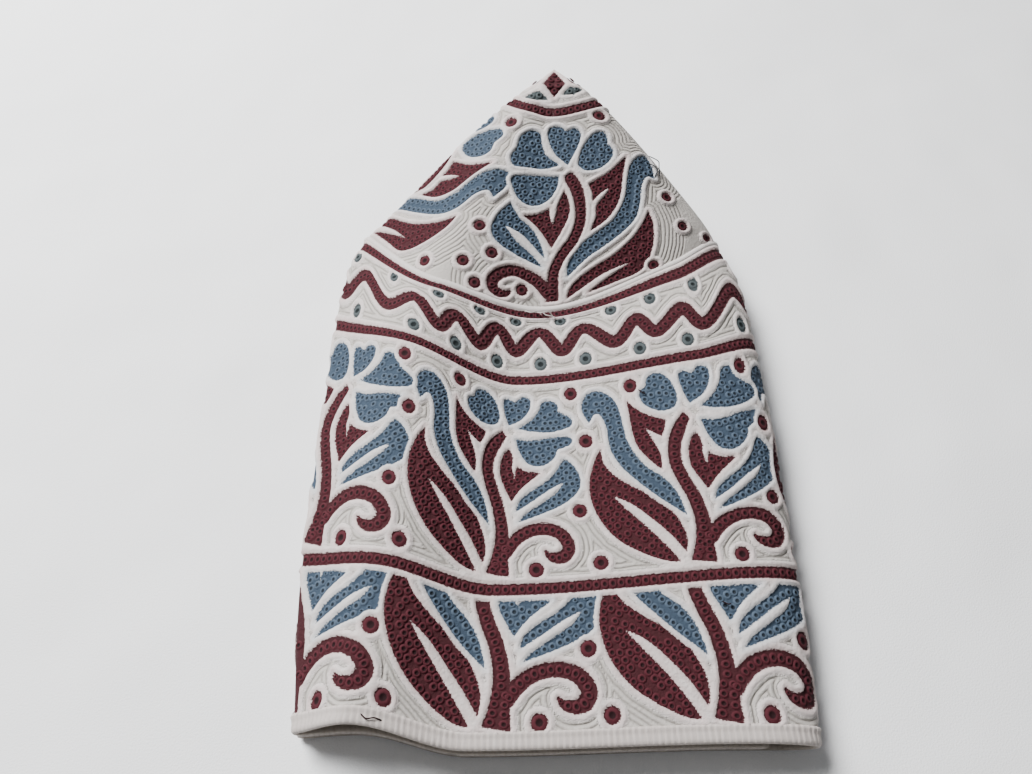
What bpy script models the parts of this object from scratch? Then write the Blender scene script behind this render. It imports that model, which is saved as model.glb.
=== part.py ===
"""An embroidered cotton cap with a round crown, folded in four and lying on its back.

The cloth is one loop, doubled twice: a front lane on top, two inner lanes and a back lane on the surface.
Sizes are in millimetres until a mesh is made. +X is right, +Y runs from the rim to the crown's tip, +Z is up.
"""

import math
from collections import namedtuple

import bmesh
import bpy

MM = 0.001

# Driving dimensions of the cap
BAND_TALL = 132.0
CROWN_RADIUS = 81.2
WALL = 1.6
HEM_TALL = 4.0
HEM_OUT = 1.1
SEAM_WIDE = 3.0
SEAM_OUT = 1.15
TRIM_IN = 0.9
PIECE_GAP = 0.3

# Heights of the middle of the wall in the lower lanes, over the underside of the fold
LANE_STEP = 2.5
BACK_HIGH = WALL / 2
SECOND_HIGH = BACK_HIGH + LANE_STEP
THIRD_HIGH = SECOND_HIGH + LANE_STEP

# The folded crown's tip: its place, the height of its underside, and the thickness of the fold there
TIP_X, TIP_Y = 13.0, 104.0
TIP_LOW = 40.0
TIP_STACK = 9.0
LAST_SHARE = 0.08
INNER_END_SHARE = 0.2
GROOVE_FULL_SHARE = 1.1
TIP_FLARE = 0.35
RIGHT_BULGE = 3.2
RIGHT_BULGE_POWER = 6
TIP_NOSE = 4.4
TIP_SHARE = 0.6
TIP_RING_SHARE = 0.6

# Where the folded cap stands in its own frame: the middle of its box is the origin
SHIFT_X, SHIFT_Y = -8.68, -4.1

# The front lane, from the rim upwards. Each station is (x, y, height of the middle of the wall):
# the left fold, the ridge beside it, the hollow in the middle and the right shoulder.
# The last is the (x, y) of the outermost right side.
Row = namedtuple("Row", "up left ridge valley shoulder side")
BAND_ROWS = (
    Row(0, (-54.0, -95.9, 8.4), (-39.7, -95.1, 18.0), (-12.0, -100.2, 12.8), (57, -98.6, 13.0), (73.2, -98.8)),
    Row(38, (-58.0, -53.2, 8.8), (-34.2, -56.8, 19.5), (-6.2, -62.7, 12.8), (56, -58.7, 14.2), (75.3, -57.6)),
    Row(75, (-58.5, -10.2, 9.2), (-32.0, -18.8, 22.0), (0.0, -26.1, 13.0), (55, -24.5, 16.5), (75.8, -19.5)),
    Row(103, (-58.5, 26.5, 9.8), (-32.0, 11.4, 23.4), (0.5, 2.5, 13.2), (53.7, 8.5, 18.5), (75.2, 16.9)),
    Row(118, (-56.9, 48.0, 10.8), (-28.4, 25.0, 23.1), (4.0, 18.0, 14.6), (52.6, 24.8, 19.6), (74.0, 38.5)),
    Row(132, (-51.9, 62.2, 12.1), (-24.8, 34.4, 22.0), (7.2, 27.5, 16.0), (50, 42.8, 19.6), (68.5, 58.3)),
)
STATIONS = Row._fields[1:]

# A fold's edge is a cubic curve whose handles reach its radius over ROUND, which makes it round.
# The groove ends a share of the way from the shoulder to the side. The left fold eases the front's slope.
ROUND = 0.75
GROOVE_REACH = 0.2
LEFT_EASE = 0.8

# Steps round the loop in each lane and fold
FRONT_STEPS, WRAP_STEPS, BACK_STEPS, FOLD_STEPS = 16, 6, 10, 4

CLOTH = (0.80, 0.77, 0.73)
HEM_CLOTH = (0.86, 0.83, 0.79)


def slopes_of(places, values):
    """Slopes at each place of the smooth line through the values that never swings past them."""
    rises = [(values[i + 1] - values[i]) / (places[i + 1] - places[i]) for i in range(len(places) - 1)]
    slopes = [rises[0]]
    for before, after in zip(rises, rises[1:]):
        slopes.append(0.0 if before * after <= 0 else 2 * before * after / (before + after))
    return slopes + [rises[-1]]


def smooth(places, values, slopes, at):
    """The value at one place on the line through the values with these slopes."""
    i = 0
    while i < len(places) - 2 and at > places[i + 1]:
        i += 1
    width = places[i + 1] - places[i]
    share = min(max((at - places[i]) / width, 0.0), 1.0)
    rest = 1 - share
    return (
        values[i] * (1 + 2 * share) * rest**2
        + values[i + 1] * share**2 * (3 - 2 * share)
        + width * share * rest * (slopes[i] * rest - slopes[i + 1] * share)
    )


def band_stations(up):
    """The five stations of the front lane at a distance up the band from the rim."""
    places = [row.up for row in BAND_ROWS]
    found = {}
    for name in STATIONS:
        columns = zip(*(getattr(row, name) for row in BAND_ROWS))
        found[name] = [smooth(places, column, slopes_of(places, column), up) for column in columns]
    return found


def crown_stations(share):
    """The stations on the crown, at a share of its radius from the tip, on straight lines from the seam."""
    found = band_stations(BAND_TALL)
    flare = 1 + TIP_FLARE * (1 - share) ** 2
    for name, station in found.items():
        station[0] = TIP_X + (station[0] - TIP_X) * share * flare
        if name in ("shoulder", "side"):
            station[0] += RIGHT_BULGE * (1 - (2 * share - 1) ** RIGHT_BULGE_POWER)
        station[1] = TIP_Y + (station[1] - TIP_Y) * share
        if len(station) > 2:
            station[2] = TIP_LOW + TIP_STACK + (station[2] - TIP_LOW - TIP_STACK) * share
    return found


def bezier(start, start_way, end, end_way, reach, steps):
    """Points round a fold, without the last, from the start along one way to the end along another."""
    near = [start[k] + reach * start_way[k] for k in (0, 1)]
    far = [end[k] - reach * end_way[k] for k in (0, 1)]
    points = []
    for step in range(steps):
        t = step / steps
        parts = ((1 - t) ** 3, 3 * t * (1 - t) ** 2, 3 * t * t * (1 - t), t**3)
        points.append(tuple(sum(p * c[k] for p, c in zip(parts, (start, near, far, end))) for k in (0, 1)))
    return points


def lane(start, end, height, steps):
    """Points along a lane from one x to another, without the last, at a height that may vary with x."""
    xs = [start + (end - start) * step / steps for step in range(steps)]
    return [(x, height(x)) for x in xs]


def middle_loop(stations, base, groove_share):
    """The loop in the middle of the wall at one row, as (x, z), anticlockwise seen from the rim.

    It runs along the back lane, round the right side, back along the front, and in and out of the groove.
    """
    left, shoulder, side = stations["left"], stations["shoulder"], stations["side"]
    places = [stations[name][0] for name in STATIONS[:-1]]
    heights = [stations[name][2] for name in STATIONS[:-1]]
    slopes = slopes_of(places, heights)
    slopes[-1] = 0.0
    back, second, third = base + BACK_HIGH, base + SECOND_HIGH, base + THIRD_HIGH
    left_round = (left[2] - third) / 2
    low_round = (second - back) / 2
    front_start = left[0] + left_round
    slopes[0] *= LEFT_EASE

    def front(x):
        return smooth(places, heights, slopes, x)

    wrap_reach = (side[0] - shoulder[0]) / ROUND
    inner_end = shoulder[0] + GROOVE_REACH * (side[0] - shoulder[0])
    groove_end = front_start + (inner_end - front_start) * groove_share
    inner_round = (third - second) / 2
    length = math.hypot(1, slopes[0])
    rise = (1 / length, slopes[0] / length)
    first = (front_start, front(front_start))
    loop = lane(front_start, shoulder[0], lambda x: back, BACK_STEPS)
    loop += bezier((shoulder[0], back), (1, 0), (shoulder[0], shoulder[2]), (-1, 0), wrap_reach, WRAP_STEPS)
    loop += lane(shoulder[0], front_start, front, FRONT_STEPS)
    loop += bezier(first, (-rise[0], -rise[1]), (front_start, third), (1, 0), left_round / ROUND, FOLD_STEPS)
    loop += lane(front_start, groove_end, lambda x: third, FRONT_STEPS)
    loop += bezier((groove_end, third), (1, 0), (groove_end, second), (-1, 0), inner_round / ROUND, WRAP_STEPS)
    loop += lane(groove_end, front_start, lambda x: second, BACK_STEPS)
    loop += bezier((front_start, second), (-1, 0), (front_start, back), (1, 0), low_round / ROUND, FOLD_STEPS)
    return loop


def offset_loop(loop, distance):
    """The loop moved outwards by a distance, square to its own line."""
    moved = []
    for i, (x, z) in enumerate(loop):
        before, after = loop[i - 1], loop[(i + 1) % len(loop)]
        run, climb = after[0] - before[0], after[1] - before[1]
        length = math.hypot(run, climb)
        moved.append((x + distance * climb / length, z - distance * run / length))
    return moved


def row_of(up, distance):
    """One row of points round the cap at a distance up the cloth from the rim, moved out by a distance."""
    if up <= BAND_TALL:
        stations, base, groove_share = band_stations(up), 0.0, 1.0
    else:
        share = 1 - (up - BAND_TALL) / CROWN_RADIUS
        stations, base = crown_stations(share), TIP_LOW * (1 - share)
        groove_share = 1 - max(1 - share / GROOVE_FULL_SHARE, 0.0) ** 2
    places = [stations[name][0] for name in STATIONS]
    depths = [stations[name][1] for name in STATIONS]
    slopes = slopes_of(places, depths)
    points = []
    for x, z in offset_loop(middle_loop(stations, base, groove_share), distance):
        y = smooth(places, depths, slopes, min(max(x, places[0]), places[-1]))
        points.append((x + SHIFT_X, y + SHIFT_Y, max(z, 0.0)))
    return points


def join_rows(mesh, rows):
    """Faces between neighbouring rows of vertices, each row a closed loop."""
    for lower, upper in zip(rows, rows[1:]):
        for i in range(len(lower)):
            j = (i + 1) % len(lower)
            mesh.faces.new((lower[i], lower[j], upper[j], upper[i]))


def add_rows(mesh, rows):
    """Vertices in a mesh for rows of points in millimetres."""
    return [[mesh.verts.new([c * MM for c in point]) for point in row] for row in rows]


def finish_piece(mesh, name, color, roughness):
    """Turns a closed mesh into the object of one sub-part, facing out, with its own material."""
    bmesh.ops.triangulate(mesh, faces=mesh.faces)
    bmesh.ops.recalc_face_normals(mesh, faces=mesh.faces)
    data = bpy.data.meshes.new(name)
    mesh.to_mesh(data)
    mesh.free()
    data.shade_smooth()
    data.set_sharp_from_angle(angle=math.radians(50))
    material = bpy.data.materials.new(name)
    material.use_nodes = True
    shader = material.node_tree.nodes["Principled BSDF"]
    shader.inputs["Base Color"].default_value = (*color, 1)
    shader.inputs["Roughness"].default_value = roughness
    shader.inputs["Metallic"].default_value = 0.0
    data.materials.append(material)
    piece = bpy.data.objects.new(name, data)
    bpy.context.scene.collection.objects.link(piece)
    return piece


def ring_piece(name, ups, outs, ins, color, roughness):
    """A wall that goes all the way round, with the reach of its outside and inside at each row."""
    mesh = bmesh.new()
    outer = add_rows(mesh, [row_of(up, reach) for up, reach in zip(ups, outs)])
    inner = add_rows(mesh, [row_of(up, -reach) for up, reach in zip(ups, ins)])
    join_rows(mesh, outer)
    join_rows(mesh, inner)
    join_rows(mesh, [outer[0], inner[0]])
    join_rows(mesh, [outer[-1], inner[-1]])
    return finish_piece(mesh, name, color, roughness)


def close_tip(mesh, last):
    """Closes the outside of the crown over its last row with a smaller ring and a point."""
    count = len(last)
    middle = [sum(vertex.co[k] for vertex in last) / count for k in (0, 1, 2)]
    tip_y = TIP_Y + TIP_NOSE + SHIFT_Y
    tip = [c * MM for c in (TIP_X + SHIFT_X, tip_y, TIP_LOW + TIP_STACK * TIP_SHARE)]
    ring = []
    for vertex in last:
        outwards = [vertex.co[k] - middle[k] for k in (0, 1, 2)]
        upwards = [tip[k] - middle[k] for k in (0, 1, 2)]
        half = [m + TIP_RING_SHARE * o + (1 - TIP_RING_SHARE) * u for m, o, u in zip(middle, outwards, upwards)]
        ring.append(mesh.verts.new(half))
    join_rows(mesh, [last, ring])
    point = mesh.verts.new(tip)
    for i in range(count):
        mesh.faces.new((ring[i], ring[(i + 1) % count], point))


def close_pockets(mesh, row):
    """Closes the hollow inside the crown where the lanes come together, with a strip between facing lanes."""
    outside = BACK_STEPS + WRAP_STEPS + FRONT_STEPS
    facing = outside + FOLD_STEPS
    for i in range(outside):
        across = facing + outside - i
        quad = (row[i], row[i + 1], row[(across - 1) % len(row)], row[across % len(row)])
        mesh.faces.new(quad)
    mesh.faces.new([row[k] for k in range(outside, facing + 1)])
    mesh.faces.new([row[k % len(row)] for k in range(facing + outside, len(row) + 1)])


def spread(start, end, steps):
    """Evenly spaced values from start to end."""
    return [start + (end - start) * step / steps for step in range(steps + 1)]


def make_rim_hem():
    """The turned and stitched edge round the opening."""
    half = WALL / 2
    ups = (0.0, 0.6, HEM_TALL - 0.5, HEM_TALL)
    outs = (half - 0.2, HEM_OUT, HEM_OUT, half)
    ins = (half - 0.2, TRIM_IN, TRIM_IN, half)
    return ring_piece("rim_hem", ups, outs, ins, HEM_CLOTH, 0.85)


def make_side_band():
    """The tall embroidered band between the hem and the crown's seam."""
    ups = spread(HEM_TALL + PIECE_GAP, BAND_TALL - SEAM_WIDE / 2 - PIECE_GAP, 12)
    walls = [WALL / 2] * len(ups)
    return ring_piece("side_band", ups, walls, walls, CLOTH, 0.9)


def make_crown_seam():
    """The corded ridge where the crown is sewn to the band."""
    ups, outs, ins = [], [], []
    for step in range(-2, 3):
        swell = 1 - (step / 2) ** 2
        ups.append(BAND_TALL + step * SEAM_WIDE / 4)
        outs.append(WALL / 2 + (SEAM_OUT - WALL / 2) * swell)
        ins.append(WALL / 2 + (TRIM_IN - WALL / 2) * swell)
    return ring_piece("crown_seam", ups, outs, ins, HEM_CLOTH, 0.85)


def make_crown():
    """The round top, folded to a wedge, hollow between its lanes nearly to the tip."""
    start = BAND_TALL + SEAM_WIDE / 2 + PIECE_GAP
    shares = (0.8, 0.65, 0.5, 0.38, 0.28, INNER_END_SHARE, 0.13, LAST_SHARE)
    ups = [start, start + 6.0] + [BAND_TALL + CROWN_RADIUS * (1 - share) for share in shares]
    inner_ups = ups[: 2 + shares.index(INNER_END_SHARE) + 1]
    mesh = bmesh.new()
    outer = add_rows(mesh, [row_of(up, WALL / 2) for up in ups])
    inner = add_rows(mesh, [row_of(up, -WALL / 2) for up in inner_ups])
    join_rows(mesh, outer)
    join_rows(mesh, inner)
    join_rows(mesh, [outer[0], inner[0]])
    close_tip(mesh, outer[-1])
    close_pockets(mesh, inner[-1])
    return finish_piece(mesh, "crown", CLOTH, 0.9)


def main():
    """Clears the scene and builds the four pieces."""
    for old in list(bpy.data.objects):
        bpy.data.objects.remove(old, do_unlink=True)
    make_rim_hem()
    make_side_band()
    make_crown_seam()
    make_crown()


main()
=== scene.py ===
"""An embroidered cotton cap with a round crown, folded in four on a pale cloth, dressed for its picture.

Lengths are in millimetres until a mesh is made. The cloth is charted flat: a place on the band is a turn
round the cap and a distance up from the rim, and a place on the crown is a turn and a distance in from the
seam.
"""

import logging
import math
from collections.abc import Callable
from dataclasses import dataclass
from dataclasses import field
from enum import Enum

import bpy
import numpy as np
from mathutils import Matrix


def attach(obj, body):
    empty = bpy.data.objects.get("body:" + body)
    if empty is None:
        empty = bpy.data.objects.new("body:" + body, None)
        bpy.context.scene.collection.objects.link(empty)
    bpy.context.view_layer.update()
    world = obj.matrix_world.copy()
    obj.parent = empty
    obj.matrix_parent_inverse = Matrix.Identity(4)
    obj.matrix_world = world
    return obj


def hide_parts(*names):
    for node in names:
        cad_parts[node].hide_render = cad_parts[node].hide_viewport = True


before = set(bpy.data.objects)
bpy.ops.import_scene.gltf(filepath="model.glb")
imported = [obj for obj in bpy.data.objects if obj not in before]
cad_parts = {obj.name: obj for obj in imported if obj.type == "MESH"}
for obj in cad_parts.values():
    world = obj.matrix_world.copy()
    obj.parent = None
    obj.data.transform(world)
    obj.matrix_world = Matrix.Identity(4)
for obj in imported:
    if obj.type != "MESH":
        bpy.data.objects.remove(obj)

LOG = logging.getLogger("cap")
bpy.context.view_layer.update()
MM = 0.001
BODY = "root"
PLANTS = 10
RIM_PITCH = 56.0
RIM_ROUND = PLANTS * RIM_PITCH
BAND_TALL = 132.0
CROWN_RADIUS = 81.2
SHIFT = (-8.68, -4.1)
LEAN_FROM = 56.0
CORD_WIDE = 1.6
INNER_FACE = -0.8
FLOOR_GAP = 0.02
# The round edge of a fold reaches out by this share of its curve's handles.
ROUND_SHARE = 0.75
WELTS = "welt_gap"

Points = np.ndarray
Chart = tuple[tuple[float, ...], ...]
Spans = tuple[tuple[float, float], ...]


class Thread(Enum):
    """The coloured threads, by the name of their distance attribute on the cloth."""

    MAROON = "maroon_gap"
    BLUE = "blue_gap"
    GREY = "grey_gap"


def gentle_slopes(places: Points, values: Points) -> Points:
    """Finds slopes for a smooth line that never swings past its points.

    Args:
        places: Where the points stand, rising.
        values: Their values.

    Returns:
        The slope at each point.
    """
    rises = np.diff(values) / np.diff(places)
    before, after = rises[:-1], rises[1:]
    together = before * after > 0
    total = np.where(together, before + after, 1.0)
    inner = np.where(together, 2 * before * after / total, 0.0)
    return np.concatenate([rises[:1], inner, rises[-1:]])


def gentle_line(places: Points, values: Points, at: Points, slopes: Points | None = None) -> Points:
    """Reads a smooth line through points.

    Args:
        places: Where the points stand, rising.
        values: Their values.
        at: The places to read.
        slopes: The slopes at the points, or None for gentle ones.

    Returns:
        The line's value at each place.
    """
    if slopes is None:
        slopes = gentle_slopes(places, values)
    i = np.clip(np.searchsorted(places, at, side="left") - 1, 0, len(places) - 2)
    width = places[i + 1] - places[i]
    share = np.clip((at - places[i]) / width, 0.0, 1.0)
    rest = 1 - share
    ends = values[i] * (1 + 2 * share) * rest**2 + values[i + 1] * share**2 * (3 - 2 * share)
    return ends + width * share * rest * (slopes[i] * rest - slopes[i + 1] * share)


def curve_through(points: Points, steps: int = 6) -> Points:
    """Draws a smooth open curve through points.

    Args:
        points: The points, one a row.
        steps: How many pieces each span gets.

    Returns:
        The curve's points, the last one included.
    """
    if len(points) < 3:
        return points
    ends = np.vstack([2 * points[0] - points[1], points, 2 * points[-1] - points[-2]])
    t = (np.arange(steps) / steps)[:, None]
    drawn = []
    for a, b, c, d in zip(ends, ends[1:], ends[2:], ends[3:]):
        cubic = 2 * b + (c - a) * t + (2 * a - 5 * b + 4 * c - d) * t**2 + (3 * b - a - 3 * c + d) * t**3
        drawn.append(cubic / 2)
    return np.vstack([*drawn, points[-1:]])


def spaced_along(path: Points, pitch: float, margin: float) -> Points:
    """Places points at an even pitch along a path.

    Args:
        path: The path's points; the first two columns are its place.
        pitch: The distance wanted between points.
        margin: The distance kept free at each end.

    Returns:
        Rows of the path's own columns, followed by the way along it in radians.
    """
    steps = np.linalg.norm(np.diff(path[:, :2], axis=0), axis=1)
    length = np.concatenate([[0.0], np.cumsum(steps)])
    count = max(int(round((length[-1] - 2 * margin) / pitch)), 1)
    at = margin + (np.arange(count) + 0.5) * (length[-1] - 2 * margin) / count
    columns = [np.interp(at, length, column) for column in path.T]
    middle = (length[1:] + length[:-1]) / 2
    ways = np.unwrap(np.arctan2(np.diff(path[:, 1]), np.diff(path[:, 0])))
    return np.column_stack([*columns, np.interp(at, middle, ways)])


@dataclass(frozen=True)
class FoldRow:
    """The front lane's stations at one distance up the band, each (x, y, height), and its right side."""

    up: float
    left: tuple[float, float, float]
    ridge: tuple[float, float, float]
    valley: tuple[float, float, float]
    shoulder: tuple[float, float, float]
    side: tuple[float, float]


@dataclass
class ClothGrid:
    """The middle of the cloth's wall as points and outward normals, looked up by turn and distance up."""

    ups: Points
    points: Points
    normals: Points = field(init=False)

    def __post_init__(self) -> None:
        """Works out the normals from the points next to each one."""
        around = np.roll(self.points, -1, axis=1) - np.roll(self.points, 1, axis=1)
        along = np.gradient(self.points, axis=0)
        normals = np.cross(around, along)
        self.normals = normals / np.maximum(np.linalg.norm(normals, axis=2, keepdims=True), 1e-9)

    def read(self, table: Points, turn: Points, up: Points) -> Points:
        """Reads one of the tables between its grid points.

        Args:
            table: The points or the normals.
            turn: Shares of a turn round the cap.
            up: Distances up the cloth from the rim.

        Returns:
            One row of three values for each place.
        """
        columns = table.shape[1]
        across = (turn % 1.0) * columns
        left = np.floor(across).astype(int)
        part = (across - left)[:, None]
        left %= columns
        right = (left + 1) % columns
        row = np.interp(up, self.ups, np.arange(len(self.ups)))
        low = np.clip(np.floor(row).astype(int), 0, len(self.ups) - 2)
        rise = (row - low)[:, None]
        lower = table[low, left] * (1 - part) + table[low, right] * part
        upper = table[low + 1, left] * (1 - part) + table[low + 1, right] * part
        return lower * (1 - rise) + upper * rise

    def place(self, turn: Points, up: Points, lift: Points | float) -> Points:
        """Places points on the cloth, in the frame.

        Args:
            turn: Shares of a turn round the cap.
            up: Distances up the cloth from the rim.
            lift: Distances out from the middle of the wall.

        Returns:
            The points, in millimetres.
        """
        normals = self.facing(turn, up)
        return self.read(self.points, turn, up) + normals * np.reshape(lift, (-1, 1))

    def facing(self, turn: Points, up: Points) -> Points:
        """Outward normals of unit length at places on the cloth."""
        normals = self.read(self.normals, turn, up)
        return normals / np.maximum(np.linalg.norm(normals, axis=1, keepdims=True), 1e-9)


@dataclass
class FoldedCap:
    """How the cap's cloth is folded: one loop, doubled twice, with its crown drawn up to a raised tip."""

    band_tall: float = BAND_TALL
    crown_radius: float = CROWN_RADIUS
    wall: float = 1.6
    lane_step: float = 2.5
    tip: tuple[float, float] = (13.0, 104.0)
    tip_low: float = 40.0
    tip_stack: float = 9.0
    tip_share: float = 0.6
    last_share: float = 0.08
    groove_full_share: float = 1.1
    tip_flare: float = 0.35
    right_bulge: float = 3.2
    tip_nose: float = 4.4
    cone: tuple[float, ...] = (0.75, 0.5, 0.25, 0.04, 0.0)
    left_slope: float = 0.8
    inner_share: float = 0.2
    shift: tuple[float, float] = SHIFT
    stem_x: float = -5.0
    crown_axis_x: tuple[float, float] = (9.5, 13.0)
    pitches: tuple[tuple[float, float], ...] = ((0, 56.0), (38, 55.0), (75, 53.6), (103, 52.2), (132, 51.0))
    rows: tuple[FoldRow, ...] = (
        FoldRow(0, (-54.0, -95.9, 8.4), (-39.7, -95.1, 18.0), (-12.0, -100.2, 12.8), (57, -98.6, 13.0),
                (73.2, -98.8)),
        FoldRow(38, (-58.0, -53.2, 8.8), (-34.2, -56.8, 19.5), (-6.2, -62.7, 12.8), (56, -58.7, 14.2),
                (75.3, -57.6)),
        FoldRow(75, (-58.5, -10.2, 9.2), (-32.0, -18.8, 22.0), (0.0, -26.1, 13.0), (55, -24.5, 16.5),
                (75.8, -19.5)),
        FoldRow(103, (-58.5, 26.5, 9.8), (-32.0, 11.4, 23.4), (0.5, 2.5, 13.2), (53.7, 8.5, 18.5),
                (75.2, 16.9)),
        FoldRow(118, (-56.9, 48.0, 10.8), (-28.4, 25.0, 23.1), (4.0, 18.0, 14.6), (52.6, 24.8, 19.6),
                (74.0, 38.5)),
        FoldRow(132, (-51.9, 62.2, 12.1), (-24.8, 34.4, 22.0), (7.2, 27.5, 16.0), (50, 42.8, 19.6),
                (68.5, 58.3)),
    )
    lane_points: int = 170
    wrap_points: int = 60
    fold_points: int = 30
    columns: int = 1500
    row_step: float = 1.0
    band: ClothGrid = field(init=False)
    crown: ClothGrid = field(init=False)
    band_spans: Spans = field(init=False)
    crown_spans: Spans = field(init=False)
    seam_turns: tuple[Points, Points] = field(init=False)

    def __post_init__(self) -> None:
        """Works out both grids."""
        band_ups = np.arange(0.0, self.band_tall + self.row_step / 2, self.row_step)
        made = [self.band_row(up) for up in band_ups]
        self.band = ClothGrid(band_ups, np.array([self.by_turn(row, turns) for row, turns, _ in made]))
        self.band_spans = self.spans(made)
        reach = self.crown_radius * (1 - self.last_share)
        crown_ups = np.append(np.arange(0.0, reach, self.row_step), reach)
        crown_made = [self.crown_row(in_from_seam) for in_from_seam in crown_ups]
        loops = [self.by_turn(row, turns) for row, turns, _ in crown_made]
        self.crown_spans = self.spans(crown_made[:len(crown_made) // 2])
        self.seam_turns = (crown_made[0][1][::-1], made[-1][1][::-1])
        tip_high = self.tip_low + self.tip_share * self.tip_stack
        middle = (self.tip[0] + self.shift[0], self.tip[1] + self.tip_nose + self.shift[1], tip_high)
        last = loops[-1]
        loops += [np.array(middle) + (last - middle) * share for share in self.cone]
        tip_ups = self.crown_radius * (1 - self.last_share * np.array(self.cone))
        self.crown = ClothGrid(np.append(crown_ups, tip_ups), np.array(loops))

    @staticmethod
    def spans(made: list[tuple[Points, Points, Points]]) -> Spans:
        """The stretches of turns that show: the front lane with both sides, and the lower left fold."""
        lefts, rights, lows = np.array([marks for _, _, marks in made]).T
        return (float(lefts.min()), float(rights.max())), (float(lows.min()), float(lows.max()))

    def band_turn(self, crown_turn: Points) -> Points:
        """The band's turn at the seam for each of the crown's turns there."""
        crown_turns, band_turns = self.seam_turns
        wanted = (crown_turn - crown_turns[0]) % 1.0 + crown_turns[0]
        return np.interp(wanted, crown_turns, band_turns)

    def stations(self, up: float) -> dict[str, list[float]]:
        """Reads the front lane's stations.

        Args:
            up: The distance up the band from the rim.

        Returns:
            Each station's coordinates by its name.
        """
        places = np.array([row.up for row in self.rows], float)
        found = {}
        for name in ("left", "ridge", "valley", "shoulder", "side"):
            table = np.array([getattr(row, name) for row in self.rows], float)
            found[name] = [float(gentle_line(places, column, np.array([up]))[0]) for column in table.T]
        return found

    def crown_stations(self, share: float) -> dict[str, list[float]]:
        """Reads the stations on the crown, on straight lines from the seam to the tip.

        Args:
            share: The share of the crown's radius that is left to its tip.

        Returns:
            Each station's coordinates by its name.
        """
        found = self.stations(self.band_tall)
        flare = 1 + self.tip_flare * (1 - share) ** 2
        top = self.tip_low + self.tip_stack
        for name, station in found.items():
            station[0] = self.tip[0] + (station[0] - self.tip[0]) * share * flare
            if name in ("shoulder", "side"):
                station[0] += self.right_bulge * (1 - (2 * share - 1) ** 6)
            station[1] = self.tip[1] + (station[1] - self.tip[1]) * share
            if len(station) > 2:
                station[2] = top + (station[2] - top) * share
        return found

    def lane(self, start: float, end: float, heights: Points | float) -> Points:
        """Points along a lane from one x to another, without the last, at the heights given."""
        xs = start + (end - start) * np.arange(self.lane_points) / self.lane_points
        return np.column_stack([xs, np.broadcast_to(heights, xs.shape)])

    @staticmethod
    def turn_round(start: Points, start_way: Points, end: Points, end_way: Points, reach: float,
                   count: int) -> Points:
        """Draws the round edge of a fold.

        Args:
            start: Where it starts.
            start_way: The way it leaves.
            end: Where it ends.
            end_way: The way it arrives.
            reach: How far the edge reaches out.
            count: How many points to make.

        Returns:
            The points, without the last.
        """
        start, end = np.array(start, float), np.array(end, float)
        handle = reach / ROUND_SHARE
        near, far = start + handle * np.array(start_way, float), end - handle * np.array(end_way, float)
        t = (np.arange(count) / count)[:, None]
        return (1 - t) ** 3 * start + 3 * t * (1 - t) ** 2 * near + 3 * t * t * (1 - t) * far + t**3 * end

    def loop(self, stations: dict[str, list[float]], base: float, groove_share: float) -> Points:
        """Draws the loop in the middle of the wall at one row.

        It runs along the back lane, round the right side, back along the front, and in and out of the groove.

        Args:
            stations: The front lane's stations.
            base: The height of the underside.
            groove_share: How far the groove reaches to the right.

        Returns:
            The points (x, z), anticlockwise seen from the rim.
        """
        left, shoulder, side = stations["left"], stations["shoulder"], stations["side"]
        names = ("left", "ridge", "valley", "shoulder")
        places = np.array([stations[name][0] for name in names])
        heights = np.array([stations[name][2] for name in names])
        slopes = gentle_slopes(places, heights)
        slopes[-1] = 0.0
        back = base + self.wall / 2
        second, third = back + self.lane_step, back + 2 * self.lane_step
        left_round = (left[2] - third) / 2
        start = left[0] + left_round
        slopes[0] *= self.left_slope
        right, wrap_round = shoulder[0], side[0] - shoulder[0]
        inner_end = right + self.inner_share * wrap_round
        groove_end = start + (inner_end - start) * groove_share
        small_round = self.lane_step / 2
        rise = np.array([1.0, slopes[0]]) / math.hypot(1.0, slopes[0])
        front = self.lane(right, start, 0.0)
        front[:, 1] = gentle_line(places, heights, front[:, 0], slopes)
        first = (start, float(gentle_line(places, heights, np.array([start]), slopes)[0]))
        wrap, fold = self.wrap_points, self.fold_points
        return np.vstack([
            self.lane(start, right, back),
            self.turn_round((right, back), (1, 0), (right, shoulder[2]), (-1, 0), wrap_round, wrap),
            front,
            self.turn_round(first, -rise, (start, third), (1, 0), left_round, fold),
            self.lane(start, groove_end, third),
            self.turn_round((groove_end, third), (1, 0), (groove_end, second), (-1, 0), small_round, wrap),
            self.lane(groove_end, start, second),
            self.turn_round((start, second), (-1, 0), (start, back), (1, 0), small_round, fold),
        ])

    def row_points(self, stations: dict[str, list[float]], base: float, groove_share: float) -> Points:
        """Draws one row of the cloth in the frame.

        Args:
            stations: The front lane's stations.
            base: The height of the underside.
            groove_share: How far the groove reaches to the right.

        Returns:
            The points (x, y, z) in the middle of the wall.
        """
        loop = self.loop(stations, base, groove_share)
        places = np.array([station[0] for station in stations.values()])
        depths = np.array([station[1] for station in stations.values()])
        ys = gentle_line(places, depths, np.clip(loop[:, 0], places[0], places[-1]))
        return np.column_stack([loop[:, 0] + self.shift[0], ys + self.shift[1], loop[:, 1]])

    def by_turn(self, row: Points, turns: Points) -> Points:
        """Reads a row at even turns.

        Args:
            row: The row's points.
            turns: Each point's turn, falling along the row by one whole turn.

        Returns:
            The row at turns 0, 1/n and so on.
        """
        turns, row = turns[::-1], row[::-1]
        first = math.floor(turns[0])
        long_turns = np.concatenate([turns + step - first - 1 for step in range(3)])
        wanted = np.arange(self.columns) / self.columns
        return np.column_stack([np.interp(wanted, long_turns, np.tile(column, 3)) for column in row.T])

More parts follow.
